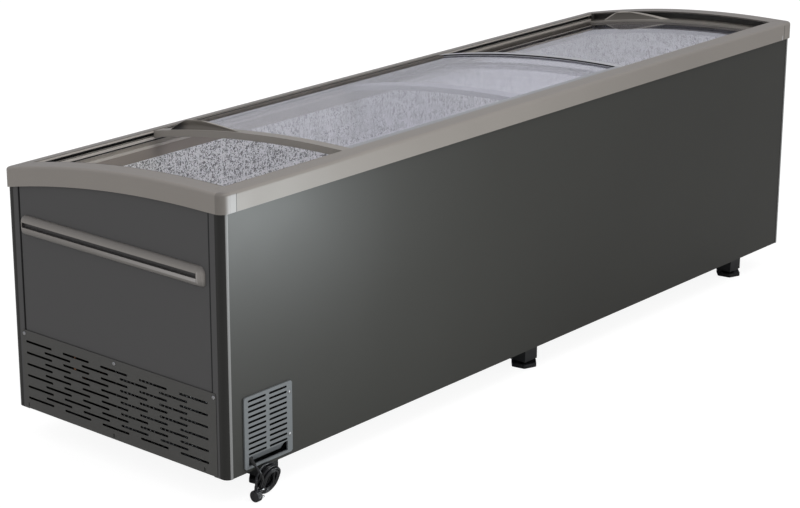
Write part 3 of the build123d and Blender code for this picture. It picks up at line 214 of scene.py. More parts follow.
class Finish:
    """A material under construction: a Principled shader and the nodes that vary it."""

    def __init__(self, name, colour, roughness, metallic=0.0):
        self.name = name
        self.material = bpy.data.materials.new(name)
        self.material.use_nodes = True
        self.tree = self.material.node_tree
        self.shader = self.tree.nodes["Principled BSDF"]
        self.colour = np.array(colour)
        self.place = self.add("ShaderNodeTexCoord").outputs["Object"]
        self.x, self.y, self.z = self.add("ShaderNodeSeparateXYZ", {"Vector": self.place}).outputs[:]
        start = {"Base Color": (*colour, 1), "Roughness": roughness, "Metallic": metallic}
        self.set(self.shader, start)

    def set(self, node, inputs):
        """Give each named input a value, or link it if the value is another node's socket."""
        for name, value in inputs.items():
            self.fill(node.inputs[name], value)

    def fill(self, socket, value):
        """Give one input a value, or link it if the value is another node's socket."""
        if isinstance(value, bpy.types.NodeSocket):
            self.tree.links.new(value, socket)
        else:
            socket.default_value = value

    def add(self, kind, inputs=None, **settings):
        """A new node with its settings and inputs."""
        node = self.tree.nodes.new(kind)
        for name, value in settings.items():
            setattr(node, name, value)
        self.set(node, inputs or {})
        return node

    def stretched(self, scale):
        """The object's coordinates, scaled along each axis."""
        return self.add("ShaderNodeMapping", {"Vector": self.place, "Scale": scale}).outputs["Vector"]

    def noise(self, scale, detail=2.0, vector=None, distortion=0.0):
        """Cloudy noise between 0 and 1."""
        inputs = {"Vector": vector or self.place, "Scale": scale, "Detail": detail}
        return self.add("ShaderNodeTexNoise", inputs | {"Distortion": distortion}).outputs["Fac"]

    def cells(self, scale, output="Distance"):
        """Voronoi cells: the distance to the nearest seed, or another of its outputs."""
        return self.add("ShaderNodeTexVoronoi", {"Vector": self.place, "Scale": scale}).outputs[output]

    def between(self, value, low, high, start=0.3, stop=0.7, smooth=False):
        """Map a value from start..stop to low..high, and hold it there outside that span."""
        inputs = {"Value": value, "From Min": start, "From Max": stop, "To Min": low, "To Max": high}
        kind = "SMOOTHSTEP" if smooth else "LINEAR"
        return self.add("ShaderNodeMapRange", inputs, interpolation_type=kind).outputs["Result"]

    def chosen(self, mask, off, on):
        """One value where a mask is 0 and another where it is 1."""
        return self.between(mask, off, on, 0.0, 1.0)

    def combine(self, operation, *values):
        """Values put together by one step of arithmetic."""
        node = self.add("ShaderNodeMath", operation=operation)
        for socket, value in zip(node.inputs, values):
            self.fill(socket, value)
        return node.outputs[0]

    def above(self, value, limit):
        """A mask that is 1 where a value is more than a limit."""
        return self.combine("GREATER_THAN", value, limit)

    def below(self, value, limit):
        """A mask that is 1 where a value is less than a limit."""
        return self.combine("LESS_THAN", value, limit)

    def near(self, value, middle, half):
        """A mask that is 1 within `half` of a middle value."""
        return self.combine("COMPARE", value, middle, half)

    def both(self, first, *others):
        """A mask that is 1 where every mask is: their product."""
        for mask in others:
            first = self.combine("MULTIPLY", first, mask)
        return first

    def either(self, a, b):
        """A mask that is 1 where one of two masks is: the larger of them."""
        return self.combine("MAXIMUM", a, b)

    def mix(self, value, a, b):
        """Colour that runs between two colours; a may be a socket."""
        node = self.add("ShaderNodeMix", data_type="RGBA")
        first = a if isinstance(a, bpy.types.NodeSocket) else (*a, 1)
        for number, given in ((MIX_SHARE, value), (MIX_FIRST, first), (MIX_SECOND, (*b, 1))):
            self.fill(node.inputs[number], given)
        self.set(self.shader, {"Base Color": node.outputs[MIX_RESULT]})

    def tint(self, value, dark, light):
        """Colour that runs between two shares of the finish's own colour."""
        self.mix(value, self.colour * dark, self.colour * light)

    def shade(self, mask, colour):
        """Lay one more colour over the finish where a mask is 1: its own colour, painted shade or
        highlight.
        """
        self.mix(mask, self.shader.inputs["Base Color"].links[0].from_socket, colour)

    def rough(self, value, low, high):
        """Roughness that follows a value."""
        self.set(self.shader, {"Roughness": self.between(value, low, high)})

    def dull(self, mask, shine):
        """Less shine where a mask is 1."""
        self.set(self.shader, {"Specular IOR Level": self.chosen(mask, SHINE, shine)})

    def bump(self, height, depth, strength=1.0):
        """Relief `depth` metres deep."""
        node = self.add("ShaderNodeBump", {"Height": height, "Distance": depth, "Strength": strength})
        self.set(self.shader, {"Normal": node.outputs["Normal"]})

    def keep(self):
        """Put the finished material on the list, under the name of its slot."""
        finishes[self.name] = self.material
        print("finish", self.name)


# %% [markdown]
# ## Plastic and paint
# Nearly every visible piece is moulded plastic or powder-coated sheet. One flat colour looks like a
# drawing, because real plastic has a leather grain from its mould, and paint dries with a skin like
# orange peel. A scanned picture would show both, but two noises do as well: a slow one for colour
# and gloss, and a fine one for the relief.

# %% Plastic and paint
CLOUD_SHARE = 0.6
SPECKLE_SHARE = 0.4


def moulded(name, colour, roughness, grain=900.0, depth=0.06 * MM):
    """Moulded plastic: slow clouds in the colour, a fine leather grain and uneven gloss."""
    made = Finish(name, colour, roughness)
    cloud = made.noise(scale=5.0, detail=3.0)
    made.tint(cloud, dark=0.94, light=1.06)
    made.rough(cloud, low=roughness - 0.04, high=roughness + 0.05)
    made.bump(made.noise(grain), depth, strength=0.6)
    return made


def painted(name, colour, roughness):
    """Powder-coated sheet: a shallow orange-peel relief and a faint change of gloss over the panel."""
    made = Finish(name, colour, roughness)
    cloud = made.noise(scale=2.2, detail=4.0)
    slow = made.combine("MULTIPLY", cloud, CLOUD_SHARE)
    fine = made.combine("MULTIPLY", made.noise(scale=2600.0, detail=1.0), SPECKLE_SHARE)
    made.tint(made.combine("ADD", slow, fine), dark=0.93, light=1.07)
    made.rough(cloud, low=roughness - 0.03, high=roughness + 0.04)
    made.bump(made.noise(scale=420.0), depth=0.08 * MM, strength=0.5)
    return made


# %% [markdown]
# ## Stage and light
# The photograph is a cut-out on pure white. The floor and the world are white to the camera and
# through glass, and grey in reflections, while the light that falls on the object comes from a plain
# sky and three soft lamps. One lies low beside the long back, and gives it a bright corner and a
# fall into the dark. A small one lifts the corner post, and a broad one above lights the rim and the
# tank. A picture of a studio could light it too, but a few lamps are easier to understand and to
# move.

# %% Sky and floor
SKY_LIGHT = 0.85
SKY_MIRRORED = (0.295, 0.30, 0.335)
FLOOR_SIZE = 40.0
FLOOR_GLOW = 0.90
FLOOR_SHADE = 0.20
FLOOR_BOUNCE = 0.75
FLOOR_MIRRORED = 0.45
WHITE = (1.0, 1.0, 1.0)


def ray_masks(tree):
    """Two masks: rays from the camera or through glass, and rays from a reflection."""
    path = tree.nodes.new("ShaderNodeLightPath")
    seen = tree.nodes.new("ShaderNodeMath")
    seen.operation = "MAXIMUM"
    tree.links.new(path.outputs["Is Camera Ray"], seen.inputs[0])
    tree.links.new(path.outputs["Is Transmission Ray"], seen.inputs[1])
    return seen.outputs[0], path.outputs["Is Glossy Ray"]


def blend(tree, mask, a, b):
    """A shader that is `a` where the mask is 0 and `b` where it is 1."""
    mix = tree.nodes.new("ShaderNodeMixShader")
    for socket, source in zip(mix.inputs, (mask, a, b)):
        tree.links.new(source, socket)
    return mix.outputs[0]


def studio_sky():
    """A world that gives even light, is white where it is seen, and a lilac grey in reflections."""
    world = bpy.data.worlds.new("studio_sky")
    scene.world = world
    world.use_nodes = True
    tree = world.node_tree
    skies = []
    for colour, strength in ((WHITE, SKY_LIGHT), (SKY_MIRRORED, 1.0), (WHITE, 1.0)):
        sky = tree.nodes.new("ShaderNodeBackground")
        sky.inputs["Color"].default_value = (*colour, 1)
        sky.inputs["Strength"].default_value = strength
        skies.append(sky.outputs[0])
    seen, mirrored = ray_masks(tree)
    total = blend(tree, seen, blend(tree, mirrored, skies[0], skies[1]), skies[2])
    tree.links.new(total, tree.nodes["World Output"].inputs["Surface"])


def studio_floor():
    """A wide floor: it glows nearly white where it is seen, keeps a soft shadow, and bounces light."""
    material = bpy.data.materials.new("studio_floor")
    material.use_nodes = True
    tree = material.node_tree
    tree.nodes.remove(tree.nodes["Principled BSDF"])
    glow = tree.nodes.new("ShaderNodeEmission")
    glow.inputs["Strength"].default_value = FLOOR_GLOW
    greys = []
    for grey in (FLOOR_SHADE, FLOOR_BOUNCE, FLOOR_MIRRORED):
        matt = tree.nodes.new("ShaderNodeBsdfDiffuse")
        matt.inputs["Color"].default_value = (grey, grey, grey, 1)
        greys.append(matt.outputs[0])
    add = tree.nodes.new("ShaderNodeAddShader")
    tree.links.new(glow.outputs[0], add.inputs[0])
    tree.links.new(greys[0], add.inputs[1])
    seen, mirrored = ray_masks(tree)
    total = blend(tree, seen, blend(tree, mirrored, greys[1], greys[2]), add.outputs[0])
    tree.links.new(total, tree.nodes["Material Output"].inputs["Surface"])
    half = FLOOR_SIZE / 2
    mesh = bpy.data.meshes.new("studio_floor")
    corners = [(-half, -half, 0), (half, -half, 0), (half, half, 0), (-half, half, 0)]
    mesh.from_pydata(corners, [], [(0, 1, 2, 3)])
    mesh.materials.append(material)
    floor = bpy.data.objects.new("studio_floor", mesh)
    scene.collection.objects.link(floor)


scene.view_settings.view_transform = "Standard"
studio_sky()
studio_floor()
print("sky", SKY_LIGHT, "floor glow", FLOOR_GLOW)

# %% Lamps
COOL = (0.92, 0.985, 1.0)
LAMPS = {
    "back_lamp": dict(place=(-0.13, 1.78, 0.22), target=(17.03, 0.38, 12.11), size=(0.3, 0.3),
                      power=10.5, colour=COOL),
    "corner_lamp": dict(place=(0.72, 1.35, 0.3), target=(1.24, 0.38, 0.4), size=(0.25, 0.5),
                        power=1.8, colour=COOL),
    "top_lamp": dict(place=(0.6, 1.8, 3.5), target=(0.0, 0.0, 0.7), size=(1.6, 1.6),
                     power=30.0, colour=WHITE),
}


def soft_lamp(name, place, target, size, power, colour):
    """An area lamp of some (width, height) that points at a target and isn't itself in the picture."""
    data = bpy.data.lights.new(name, "AREA")
    data.shape = "RECTANGLE"
    data.size, data.size_y = size
    data.energy = power
    data.color = colour
    lamp = bpy.data.objects.new(name, data)
    aim = (Vector(target) - Vector(place)).to_track_quat("-Z", "Y").to_matrix().to_4x4()
    lamp.matrix_world = Matrix.Translation(Vector(place)) @ aim
    lamp.visible_camera = False
    scene.collection.objects.link(lamp)


for lamp_name, lamp_settings in LAMPS.items():
    soft_lamp(lamp_name, **lamp_settings)
print(len(LAMPS), "lamps")

# %% [markdown]
# ## Rim
# The rim is satin grey plastic with a warm cast. Inside its long rails, the lid tracks are painted as
# black lines of shade, with a pale ledge of painted light beside them, and each end frame has its
# inner face and a recess painted dark as shade where the arch meets the rails. Shadow alone could draw
# these, but the grooves are a few millimetres wide and white surroundings shine into them, so each is
# a patch of colour. At the service end's back corner the round is painted darker as shade and the flat
# beside it paler as a highlight, and the far end's face under the lid is painted pale as the glass's
# sheen over it. How far a point lies under the rim's curved top is worked out from its coordinates,
# and that depth bounds the patches. Of the pairs below, a FADE is a start and a stop, RAIL_TOPS are
# the heights at the front and at the back, and the others are a middle and a half width.

# %% Rim finish
DEEP_SHADE = (0.004, 0.004, 0.004)
SEAM_SHADE = (0.010, 0.010, 0.010)
UNDER_GLASS_PAINTED_SHEEN = (0.46, 0.46, 0.49)
RIM_TOP = cad_high.z
ARCH_RADIUS = 3.100
ARCH_START = 0.300
RAIL_TOPS = (0.7214, 0.789)
RAIL_INNER = 0.338
RAIL_INSIDE = (0.3425, 6.2 * MM)
TRACK_MIDDLE = 0.3437
TRACK_SHADES = ((12.0 * MM, 5.3 * MM), (26.6 * MM, 1.9 * MM))
LEDGE_PAINTED_LIGHT = (0.55, 0.515, 0.475)
LEDGE_FADE = (-0.6, 0.7)
LEDGE_FAR_SHARE = 0.7
LEDGE_FROM = 1.6 * MM
RECESS_FACE = 1.1925
FACE_HALF = 1.5 * MM
RECESS_DEEP = (1.1985, 6.1 * MM)
RECESS_BAND = (12.5 * MM, 9.2 * MM)
RECESS_SIDE = 0.322
RECESS_SHADE = (0.034, 0.032, 0.029)
INNER_SHADE = (0.085, 0.077, 0.069)
FAR_FACE_DEPTH = 36 * MM
ROUND_FROM = 0.364
ROUND_SHADE = (0.178, 0.163, 0.148)
WRAP_END = 1.201
WRAP_FADE = (1.222, 1.238)
WRAP_PAINTED_HIGHLIGHT = (0.335, 0.326, 0.322)
WRAP_SEAM_HALF = 1.0 * MM
SEAM_FROM = 6 * MM


def rim_depth(made):
    """Depth of a point under the straight line from the back rail's top to the front rail's."""
    top = made.between(made.y, *RAIL_TOPS, -TRACK_MIDDLE, TRACK_MIDDLE)
    return made.combine("SUBTRACT", top, made.z)


def rim_arch_depth(made):
    """Depth of a point under the rim's arch, which is level at the back and then a circle's arc.

    The arc's height is the root of radius squared less run squared, with the run counted from its start.
    """
    run = made.combine("MAXIMUM", made.combine("SUBTRACT", ARCH_START, made.y), 0.0)
    square = made.combine("SUBTRACT", ARCH_RADIUS ** 2, made.combine("MULTIPLY", run, run))
    top = made.combine("ADD", made.combine("SQRT", square), RIM_TOP - ARCH_RADIUS)
    return made.combine("SUBTRACT", top, made.z)


def rim_plastic():
    """Rim plastic: painted light and shade on the rails, end faces, recesses and a corner; seams."""
    made = moulded("rim_plastic", (0.250, 0.229, 0.209), roughness=0.37)
    along, side = made.combine("ABSOLUTE", made.x), made.combine("ABSOLUTE", made.y)
    depth, arch_depth = rim_depth(made), rim_arch_depth(made)
    rail = made.both(made.below(along, RECESS_FACE), made.near(side, *RAIL_INSIDE))
    # Painted light: the rails' inside walls are painted pale as lit ledges, less so towards the far end.
    ledge_light_share = made.between(made.x, LEDGE_FAR_SHARE, 1.0, *LEDGE_FADE)
    made.shade(made.both(rail, made.above(depth, LEDGE_FROM), ledge_light_share), LEDGE_PAINTED_LIGHT)
    for track in TRACK_SHADES:
        made.shade(made.both(rail, made.near(depth, *track)), DEEP_SHADE)
    inner = made.below(side, RAIL_INNER - FACE_HALF)
    face = made.near(along, RECESS_FACE, FACE_HALF)
    made.shade(made.both(inner, face), INNER_SHADE)
    # Painted sheen: the far end's face under the closed lid is painted pale, like the glass's sheen over
    # it.
    under_lid = made.both(made.below(made.x, 0.0), made.above(arch_depth, FAR_FACE_DEPTH))
    made.shade(made.both(face, under_lid), UNDER_GLASS_PAINTED_SHEEN)
    corner = made.both(face, made.above(side, RECESS_SIDE))
    recess = made.either(made.near(along, *RECESS_DEEP), corner)
    made.shade(made.both(recess, made.near(arch_depth, *RECESS_BAND), inner), RECESS_SHADE)
    # Painted shade on the round of the service end's back corner, and a painted highlight on the flat
    # beside it.
    outside = made.above(made.y, ROUND_FROM)
    round_share = made.between(made.x, 0.0, 1.0, *WRAP_FADE)
    made.shade(made.both(outside, round_share), ROUND_SHADE)
    lower = made.above(arch_depth, SEAM_FROM)
    flat_share = made.combine("SUBTRACT", 1.0, round_share)
    made.shade(made.both(made.above(made.x, WRAP_END), outside, lower, flat_share), WRAP_PAINTED_HIGHLIGHT)
    seam = made.near(along, WRAP_END, WRAP_SEAM_HALF)
    made.shade(made.both(seam, made.above(side, RAIL_INNER), lower), SEAM_SHADE)
    made.keep()


rim_plastic()

# %% [markdown]
# ## Panels and posts
# The panels are powder-coated sheet: matt on the ends, and satin on the long sides, which mirror the
# light softly. The posts are darker and glossier, which draws one thin bright line down each corner.
# A post's flange is painted like the end panel beside it, with a dark seam between them, and a pale
# band is painted down its other edge as a highlight. Cutting the post into strips would give each its
# own material, but the strips are plain bands across the cabinet, so tests on one coordinate do it.

# %% Panel and post finishes
END_GREY = (0.072, 0.0705, 0.071)
END_ROUGHNESS = 0.6
POST_ROUGHNESS = 0.3
POST_SEAM = (0.336, 2.9 * MM)
FLANGE_EDGE = 0.356
HIGHLIGHT_EDGE = 0.3797
EDGE_PAINTED_HIGHLIGHT = (0.20, 0.20, 0.198)


def post_plastic():
    """Posts: a flange painted like the end panel, a dark round corner, a painted highlight at the long
    side.
    """
    made = moulded("post_plastic", (0.014, 0.0135, 0.012), POST_ROUGHNESS, grain=1400.0, depth=0.03 * MM)
    side = made.combine("ABSOLUTE", made.y)
    flange = made.below(side, FLANGE_EDGE)
    made.shade(flange, END_GREY)
    # Painted highlight: a pale band down the post's edge beside the long side.
    made.shade(made.above(side, HIGHLIGHT_EDGE), EDGE_PAINTED_HIGHLIGHT)
    made.shade(made.near(side, *POST_SEAM), SEAM_SHADE)
    made.set(made.shader, {"Roughness": made.chosen(flange, POST_ROUGHNESS, END_ROUGHNESS)})
    made.keep()


def end_panel_paint():
    """Matt paint on the ends, with a dark seam beside each post."""
    made = painted("end_panel_paint", END_GREY, END_ROUGHNESS)
    made.shade(made.near(made.combine("ABSOLUTE", made.y), *POST_SEAM), SEAM_SHADE)
    made.keep()


post_plastic()
end_panel_paint()
painted("side_panel_paint", (0.030, 0.030, 0.026), roughness=0.37).keep()

# %% [markdown]
# ## Lids
# The lids' runners, end bars, wing handles and tail bars are moulded plastic in several shades, from
# pale beside the glass to dark taupe. Some shades are painted light and shade: the front runners are
# painted pale beside the glass and black beside the rail, the wings' crests pale as highlights, the
# upper wing's toe dark, and the lower bar darker under the glass, as the reflection there. One
# material for each shade is the plain way, but the shades change along lines that follow the lids'
# curve, so one material for each kind of piece picks its colours by the depth under the rim's arch.
# The lower lid hangs one pitch deeper, and its depths are counted from there. CREST_BANDS holds the
# lower lid's width of crest and then the upper lid's.

# %% Runner finish
MATT_SHINE = 0.05
LOWER_LID = 21 * MM
RUNNER_EDGE = -0.3065
RUNNER_DARK = 5.8 * MM
RUNNER_STRIP = (-0.3165, 4.2 * MM)
RUNNER_BROWN = (0.15, 0.137, 0.124)
FRONT_RUNNER_PAINTED_LIGHT = (0.52, 0.525, 0.55)
LOWER_RUNNER = (0.075, 0.066, 0.058)


def lid_plastic():
    """Runners: painted light at the front, painted shade and a brown strip beside the rail; lower lid
    taupe.
    """
    made = moulded("lid_plastic", (0.30, 0.305, 0.325), roughness=0.42)
    # Painted light: the front runners are painted pale, as the lit glass beside them.
    made.shade(made.below(made.y, 0.0), FRONT_RUNNER_PAINTED_LIGHT)
    # Painted shade: black beside the rail.
    dark = made.both(made.below(made.y, RUNNER_EDGE), made.below(rim_arch_depth(made), RUNNER_DARK))
    made.shade(dark, DEEP_SHADE)
    strip = made.near(made.y, *RUNNER_STRIP)
    made.shade(strip, RUNNER_BROWN)
    made.shade(made.above(rim_depth(made), LOWER_LID), LOWER_RUNNER)
    made.dull(made.either(dark, strip), MATT_SHINE)
    made.keep()


lid_plastic()

# %% Handle and bar finish
HANDLE_FRONT = -0.280
HANDLE_FRONT_RAMP = 55 * MM
HANDLE_BACK_RAMP = 157 * MM
HANDLE_BACK = -0.015
HANDLE_RISE = 28 * MM
CREST_BANDS = (8.0 * MM, 4.5 * MM)
CREST_PAINTED_HIGHLIGHT = (0.36, 0.335, 0.305)
LOWER_WING = (0.088, 0.079, 0.068)
BAR_FROM = 1.5 * MM
BAR_TAUPE = (0.28, 0.26, 0.238)
LOWER_BAR_TAUPE = (0.20, 0.185, 0.168)
LOWER_BAR_PAINTED_REFLECTION = (0.10, 0.092, 0.084)
UNDER_GLASS = 8.5 * MM
TOE_FADE = (-0.252, -0.207)
TOE_SHADE = (0.012, 0.011, 0.010)


def wing_line(made):
    """How far a wing's crest stands over its bar: the lower of its front ramp and its back ramp."""
    front = made.between(made.y, 0.0, HANDLE_RISE, HANDLE_FRONT, HANDLE_FRONT + HANDLE_FRONT_RAMP)
    back = made.between(made.y, HANDLE_RISE, 0.0, HANDLE_BACK - HANDLE_BACK_RAMP, HANDLE_BACK)
    return made.combine("MINIMUM", front, back)


def handle_plastic():
    """Dark taupe wings, crests painted pale as highlights, on lighter end bars; the lower lid's darker
    all over.
    """
    made = moulded("handle_plastic", (0.138, 0.124, 0.106), roughness=0.4)
    upper = made.above(made.x, 0.0)
    depth = made.combine("ADD", rim_arch_depth(made), made.chosen(upper, -LOWER_LID, 0.0))
    made.shade(made.below(made.x, 0.0), LOWER_WING)
    under_crest = made.combine("ADD", depth, wing_line(made))
    # Painted highlight: a pale band along each wing's crest.
    made.shade(made.below(under_crest, made.chosen(upper, *CREST_BANDS)), CREST_PAINTED_HIGHLIGHT)
    bar = made.above(depth, BAR_FROM)
    made.shade(bar, LOWER_BAR_TAUPE)
    # Painted reflection: the lower bar is darker where it lies under the glass, as the dark reflection
    # over it.
    made.shade(made.above(depth, UNDER_GLASS), LOWER_BAR_PAINTED_REFLECTION)
    made.shade(made.both(bar, upper), BAR_TAUPE)
    toe = made.between(made.y, 1.0, 0.0, *TOE_FADE, smooth=True)
    made.shade(made.both(upper, toe, made.below(depth, BAR_FROM)), TOE_SHADE)
    made.keep()


handle_plastic()

# %% Tail bar finish
UPPER_TAIL_FROM = -0.30
UPPER_TAIL_SHADE = (0.42, 0.42, 0.445)
TAIL_EDGE = (5.2 * MM, 1.9 * MM)


def pale_plastic():
    """Pale tail bars; the upper one is brighter and has a thin near-black line along it."""
    made = moulded("pale_plastic", (0.36, 0.36, 0.39), roughness=0.45)
    upper = made.below(made.x, UPPER_TAIL_FROM)
    made.shade(upper, UPPER_TAIL_SHADE)
    # A thin near-black line painted along the upper tail bar.
    tail_dark_line = made.both(upper, made.near(rim_arch_depth(made), *TAIL_EDGE))
    made.shade(tail_dark_line, DEEP_SHADE)
    made.dull(tail_dark_line, MATT_SHINE)
    made.keep()


pale_plastic()

# %% [markdown]
# ## Grips, grille and vent
# The finger slots of the grips and the air slots of the grille and the vent cover look black,
# because nothing lights the space behind them. They are real openings here, but a white studio
# shines into them, so everything a little behind the face is painted black as shade. The grip also
# gets a pale lip under its slot and a pale line on one cap, both painted highlights, and painted
# shade towards its upper and lower edges, where it turns away from the light.

# %% Finishes with slots
BEHIND_FACE = 0.3 * MM
GRILLE_FACE = 1.2462
VENT_FACE = 0.384
VENT_SLOTS_ALONG = (1.1045, 71.5 * MM)
VENT_SLOTS_UP = (0.19075, 73.25 * MM)
GRIP_SLOT_DEEP = 1.2535
GRIP_SLOT_ALONG = (-0.011, 0.3103)
GRIP_SLOT_UP = (0.57625, 6.7 * MM)
GRIP_SHADE = (0.058, 0.055, 0.055)
GRIP_TOP_FADE = (0.585, 0.602)
GRIP_TOP_SHARE = 0.6
GRIP_FOOT_FADE = (0.551, 0.569)
GRIP_FOOT_SHARE = 0.75
GRIP_EDGE_SHADE = (0.085, 0.079, 0.074)
LIP_BAND = (0.5655, 4.5 * MM)
LIP_FADE = (-0.10, 0.30)
LIP_END = 0.299
LIP_PAINTED_HIGHLIGHT = (0.36, 0.343, 0.333)
CAP_HIGHLIGHT_LINE = (0.3035, 1.1 * MM)
CAP_UP = (0.573, 14 * MM)


def grip_plastic():
    """Grips: painted shade on both edges, highlights painted on lip and cap, near-black deep in the slot.

    The far grip is the same moulding turned round, so its side coordinate takes the sign of x.
    """
    made = moulded("grip_plastic", (0.24, 0.223, 0.209), roughness=0.36)
    side = made.combine("MULTIPLY", made.y, made.combine("SIGN", made.x))
    high = made.between(made.z, 0.0, GRIP_TOP_SHARE, *GRIP_TOP_FADE)
    low = made.between(made.z, GRIP_FOOT_SHARE, 0.0, *GRIP_FOOT_FADE)
    made.shade(made.either(high, low), GRIP_EDGE_SHADE)
    # Painted highlights: a pale lip under the slot and a pale line on one cap.
    lip = made.both(made.near(made.z, *LIP_BAND), made.between(side, 0.0, 1.0, *LIP_FADE))
    lip = made.both(lip, made.below(side, LIP_END))
    cap = made.both(made.near(side, *CAP_HIGHLIGHT_LINE), made.near(made.z, *CAP_UP))
    made.shade(made.either(lip, cap), LIP_PAINTED_HIGHLIGHT)
    deep = made.below(made.combine("ABSOLUTE", made.x), GRIP_SLOT_DEEP)
    slot = made.both(deep, made.near(side, *GRIP_SLOT_ALONG), made.near(made.z, *GRIP_SLOT_UP))
    made.shade(slot, GRIP_SHADE)
    made.keep()


def grille_paint():
    """Grille paint that is black inside the slots, from just behind the face."""
    made = painted("grille_paint", (0.070, 0.0685, 0.0645), roughness=0.55)
    made.shade(made.below(made.x, GRILLE_FACE - BEHIND_FACE), DEEP_SHADE)
    made.keep()


def vent_plastic():
    """Vent plastic that is black inside the slots; the pocket's flap at the foot keeps its own colour."""
    made = moulded("vent_plastic", (0.142, 0.153, 0.160), roughness=0.5)
    field = made.both(made.near(made.x, *VENT_SLOTS_ALONG), made.near(made.z, *VENT_SLOTS_UP))
    slots = made.both(made.below(made.y, VENT_FACE - BEHIND_FACE), field)
    made.shade(slots, DEEP_SHADE)
    made.dull(slots, 0.0)
    made.keep()


grip_plastic()
grille_paint()
vent_plastic()

# %% [markdown]
# ## Plain plastics, rubbers and paint
# The feet, the fan, the control box, the seal and the rubber parts have one colour each. They could
# share one black, but real ones differ in gloss and grain, so a small table gives each its colour,
# roughness and grain. The breaker strips are also painted pale at the far end under the closed lid,
# as the glass's sheen over them, and the cord's sheath has a soft shine.

# %% Plain finishes
BREAKER_FAR = -1.15
CORD_SHINE = 0.75
PLAIN_PLASTICS = {
    "foot_plastic": dict(colour=(0.012, 0.012, 0.013), roughness=0.45, grain=700.0, depth=0.1 * MM),
    "fan_plastic": dict(colour=(0.02, 0.02, 0.021), roughness=0.45),
    "box_plastic": dict(colour=(0.3, 0.3, 0.29), roughness=0.5),
    "seal_rubber": dict(colour=(0.02, 0.02, 0.02), roughness=0.65, grain=1600.0),
    "black_rubber": dict(colour=(0.018, 0.018, 0.018), roughness=0.7, grain=1600.0),
}


def breaker_plastic():
    """Breaker strips: taupe, and painted pale at the far end under the closed lid, as the glass's sheen.
    """
    made = moulded("breaker_plastic", (0.29, 0.257, 0.228), roughness=0.42)
    made.shade(made.below(made.x, BREAKER_FAR), UNDER_GLASS_PAINTED_SHEEN)
    made.keep()


def cord_rubber():
    """Cord sheath: black with a soft shine."""
    made = moulded("cord_rubber", (0.006, 0.0058, 0.007), roughness=0.26, grain=1500.0)
    made.set(made.shader, {"Specular IOR Level": CORD_SHINE})
    made.keep()


for plastic, plastic_settings in PLAIN_PLASTICS.items():
    moulded(plastic, **plastic_settings).keep()
painted("black_paint", (0.016, 0.017, 0.018), roughness=0.42).keep()
breaker_plastic()
cord_rubber()

# %% [markdown]
# ## Embossed tank and glass
# The tank is stucco-embossed aluminium: short worm-like dimples a few millimetres long, in every
# direction, each with a bright and a dark flank. As shapes they would take millions of faces, and
# bent noise cut off at its middle gives such worms as a relief, with painted shade on the ground
# between them and a painted highlight on their tops. The lids are clear glass with a faint lilac
# tint; a second, see-through shader lets lamp light pass into the tank, which a refracting shader
# alone would block.

# %% Embossed tank and glass
WORM_SCALE = 160.0
WORM_BEND = 1.4
WORM_CUT = (0.41, 0.51)
WORM_DEPTH = 1.6 * MM
RIDGE_PITCH_ALONG = 88 * MM
RIDGE_PITCH_UP = 130 * MM
RIDGE_HALF = 4 * MM
GLASS_IOR = 1.5
GLASS_SHADOW = (0.93, 0.93, 0.97, 1)
GLASS_WIPES = (1.0, 3.0, 3.0)


def stucco():
    """Embossed aluminium: short worms from bent noise, and straight ridges over the tubes behind it."""
    made = Finish("liner_metal", (0.93, 0.925, 0.935), roughness=0.4, metallic=0.12)
    warp = made.noise(WORM_SCALE, detail=1.0, distortion=WORM_BEND)
    worm = made.between(warp, 0.0, 1.0, *WORM_CUT, smooth=True)
    upright = made.combine("PINGPONG", made.x, RIDGE_PITCH_ALONG / 2)
    level = made.combine("PINGPONG", made.z, RIDGE_PITCH_UP / 2)
    nearest = made.combine("MINIMUM", upright, level)
    ridge = made.between(nearest, 1.0, 0.0, 0.0, RIDGE_HALF, smooth=True)
    height = made.either(worm, ridge)
    # Painted shade and highlight: the ground between worms and ridges is darker, their tops paler.
    made.tint(height, dark=0.30, light=1.05)
    made.bump(height, WORM_DEPTH)
    made.keep()


def clear_glass():
    """Lid glass: refraction with a lilac tint, see-through for shadow rays, faint wipe marks."""
    made = Finish("lid_glass", (0.93, 0.93, 0.985), roughness=0.0)
    made.set(made.shader, {"Transmission Weight": 1.0, "IOR": GLASS_IOR})
    wipes = made.noise(scale=9.0, detail=4.0, vector=made.stretched(GLASS_WIPES))
    made.rough(wipes, low=0.0, high=0.035)
    see = made.add("ShaderNodeBsdfTransparent", {"Color": GLASS_SHADOW})
    path = made.add("ShaderNodeLightPath")
    total = blend(made.tree, path.outputs["Is Shadow Ray"], made.shader.outputs[0], see.outputs[0])
    made.tree.links.new(total, made.tree.nodes["Material Output"].inputs["Surface"])
    made.keep()


stucco()
clear_glass()

# %% [markdown]
# ## Bare metals and foam
# The machine and the tray behind the panels are bare metal: zinc with its crystals, drawn steel and
# copper, and fins of thin aluminium. They are hardly seen, so plain greys would do, but the lids and
# the slots let some of them show. Cells with a shade each give the crystals, and noise stretched
# along one axis gives the lines of drawing. The foam between the walls is cream with small cells.

# %% Metals and foam
def spangled(name, colour, roughness, scale):
    """Galvanised or plated sheet: flat crystals, each with its own shade and gloss."""
    made = Finish(name, colour, roughness, metallic=1.0)
    shade = made.add("ShaderNodeSeparateColor", {"Color": made.cells(scale, "Color")}).outputs[0]
    made.tint(shade, dark=0.82, light=1.08)
    made.rough(shade, roughness - 0.07, roughness + 0.08)
    made.bump(made.noise(scale=60.0, detail=3.0), depth=0.2 * MM, strength=0.3)
    made.keep()


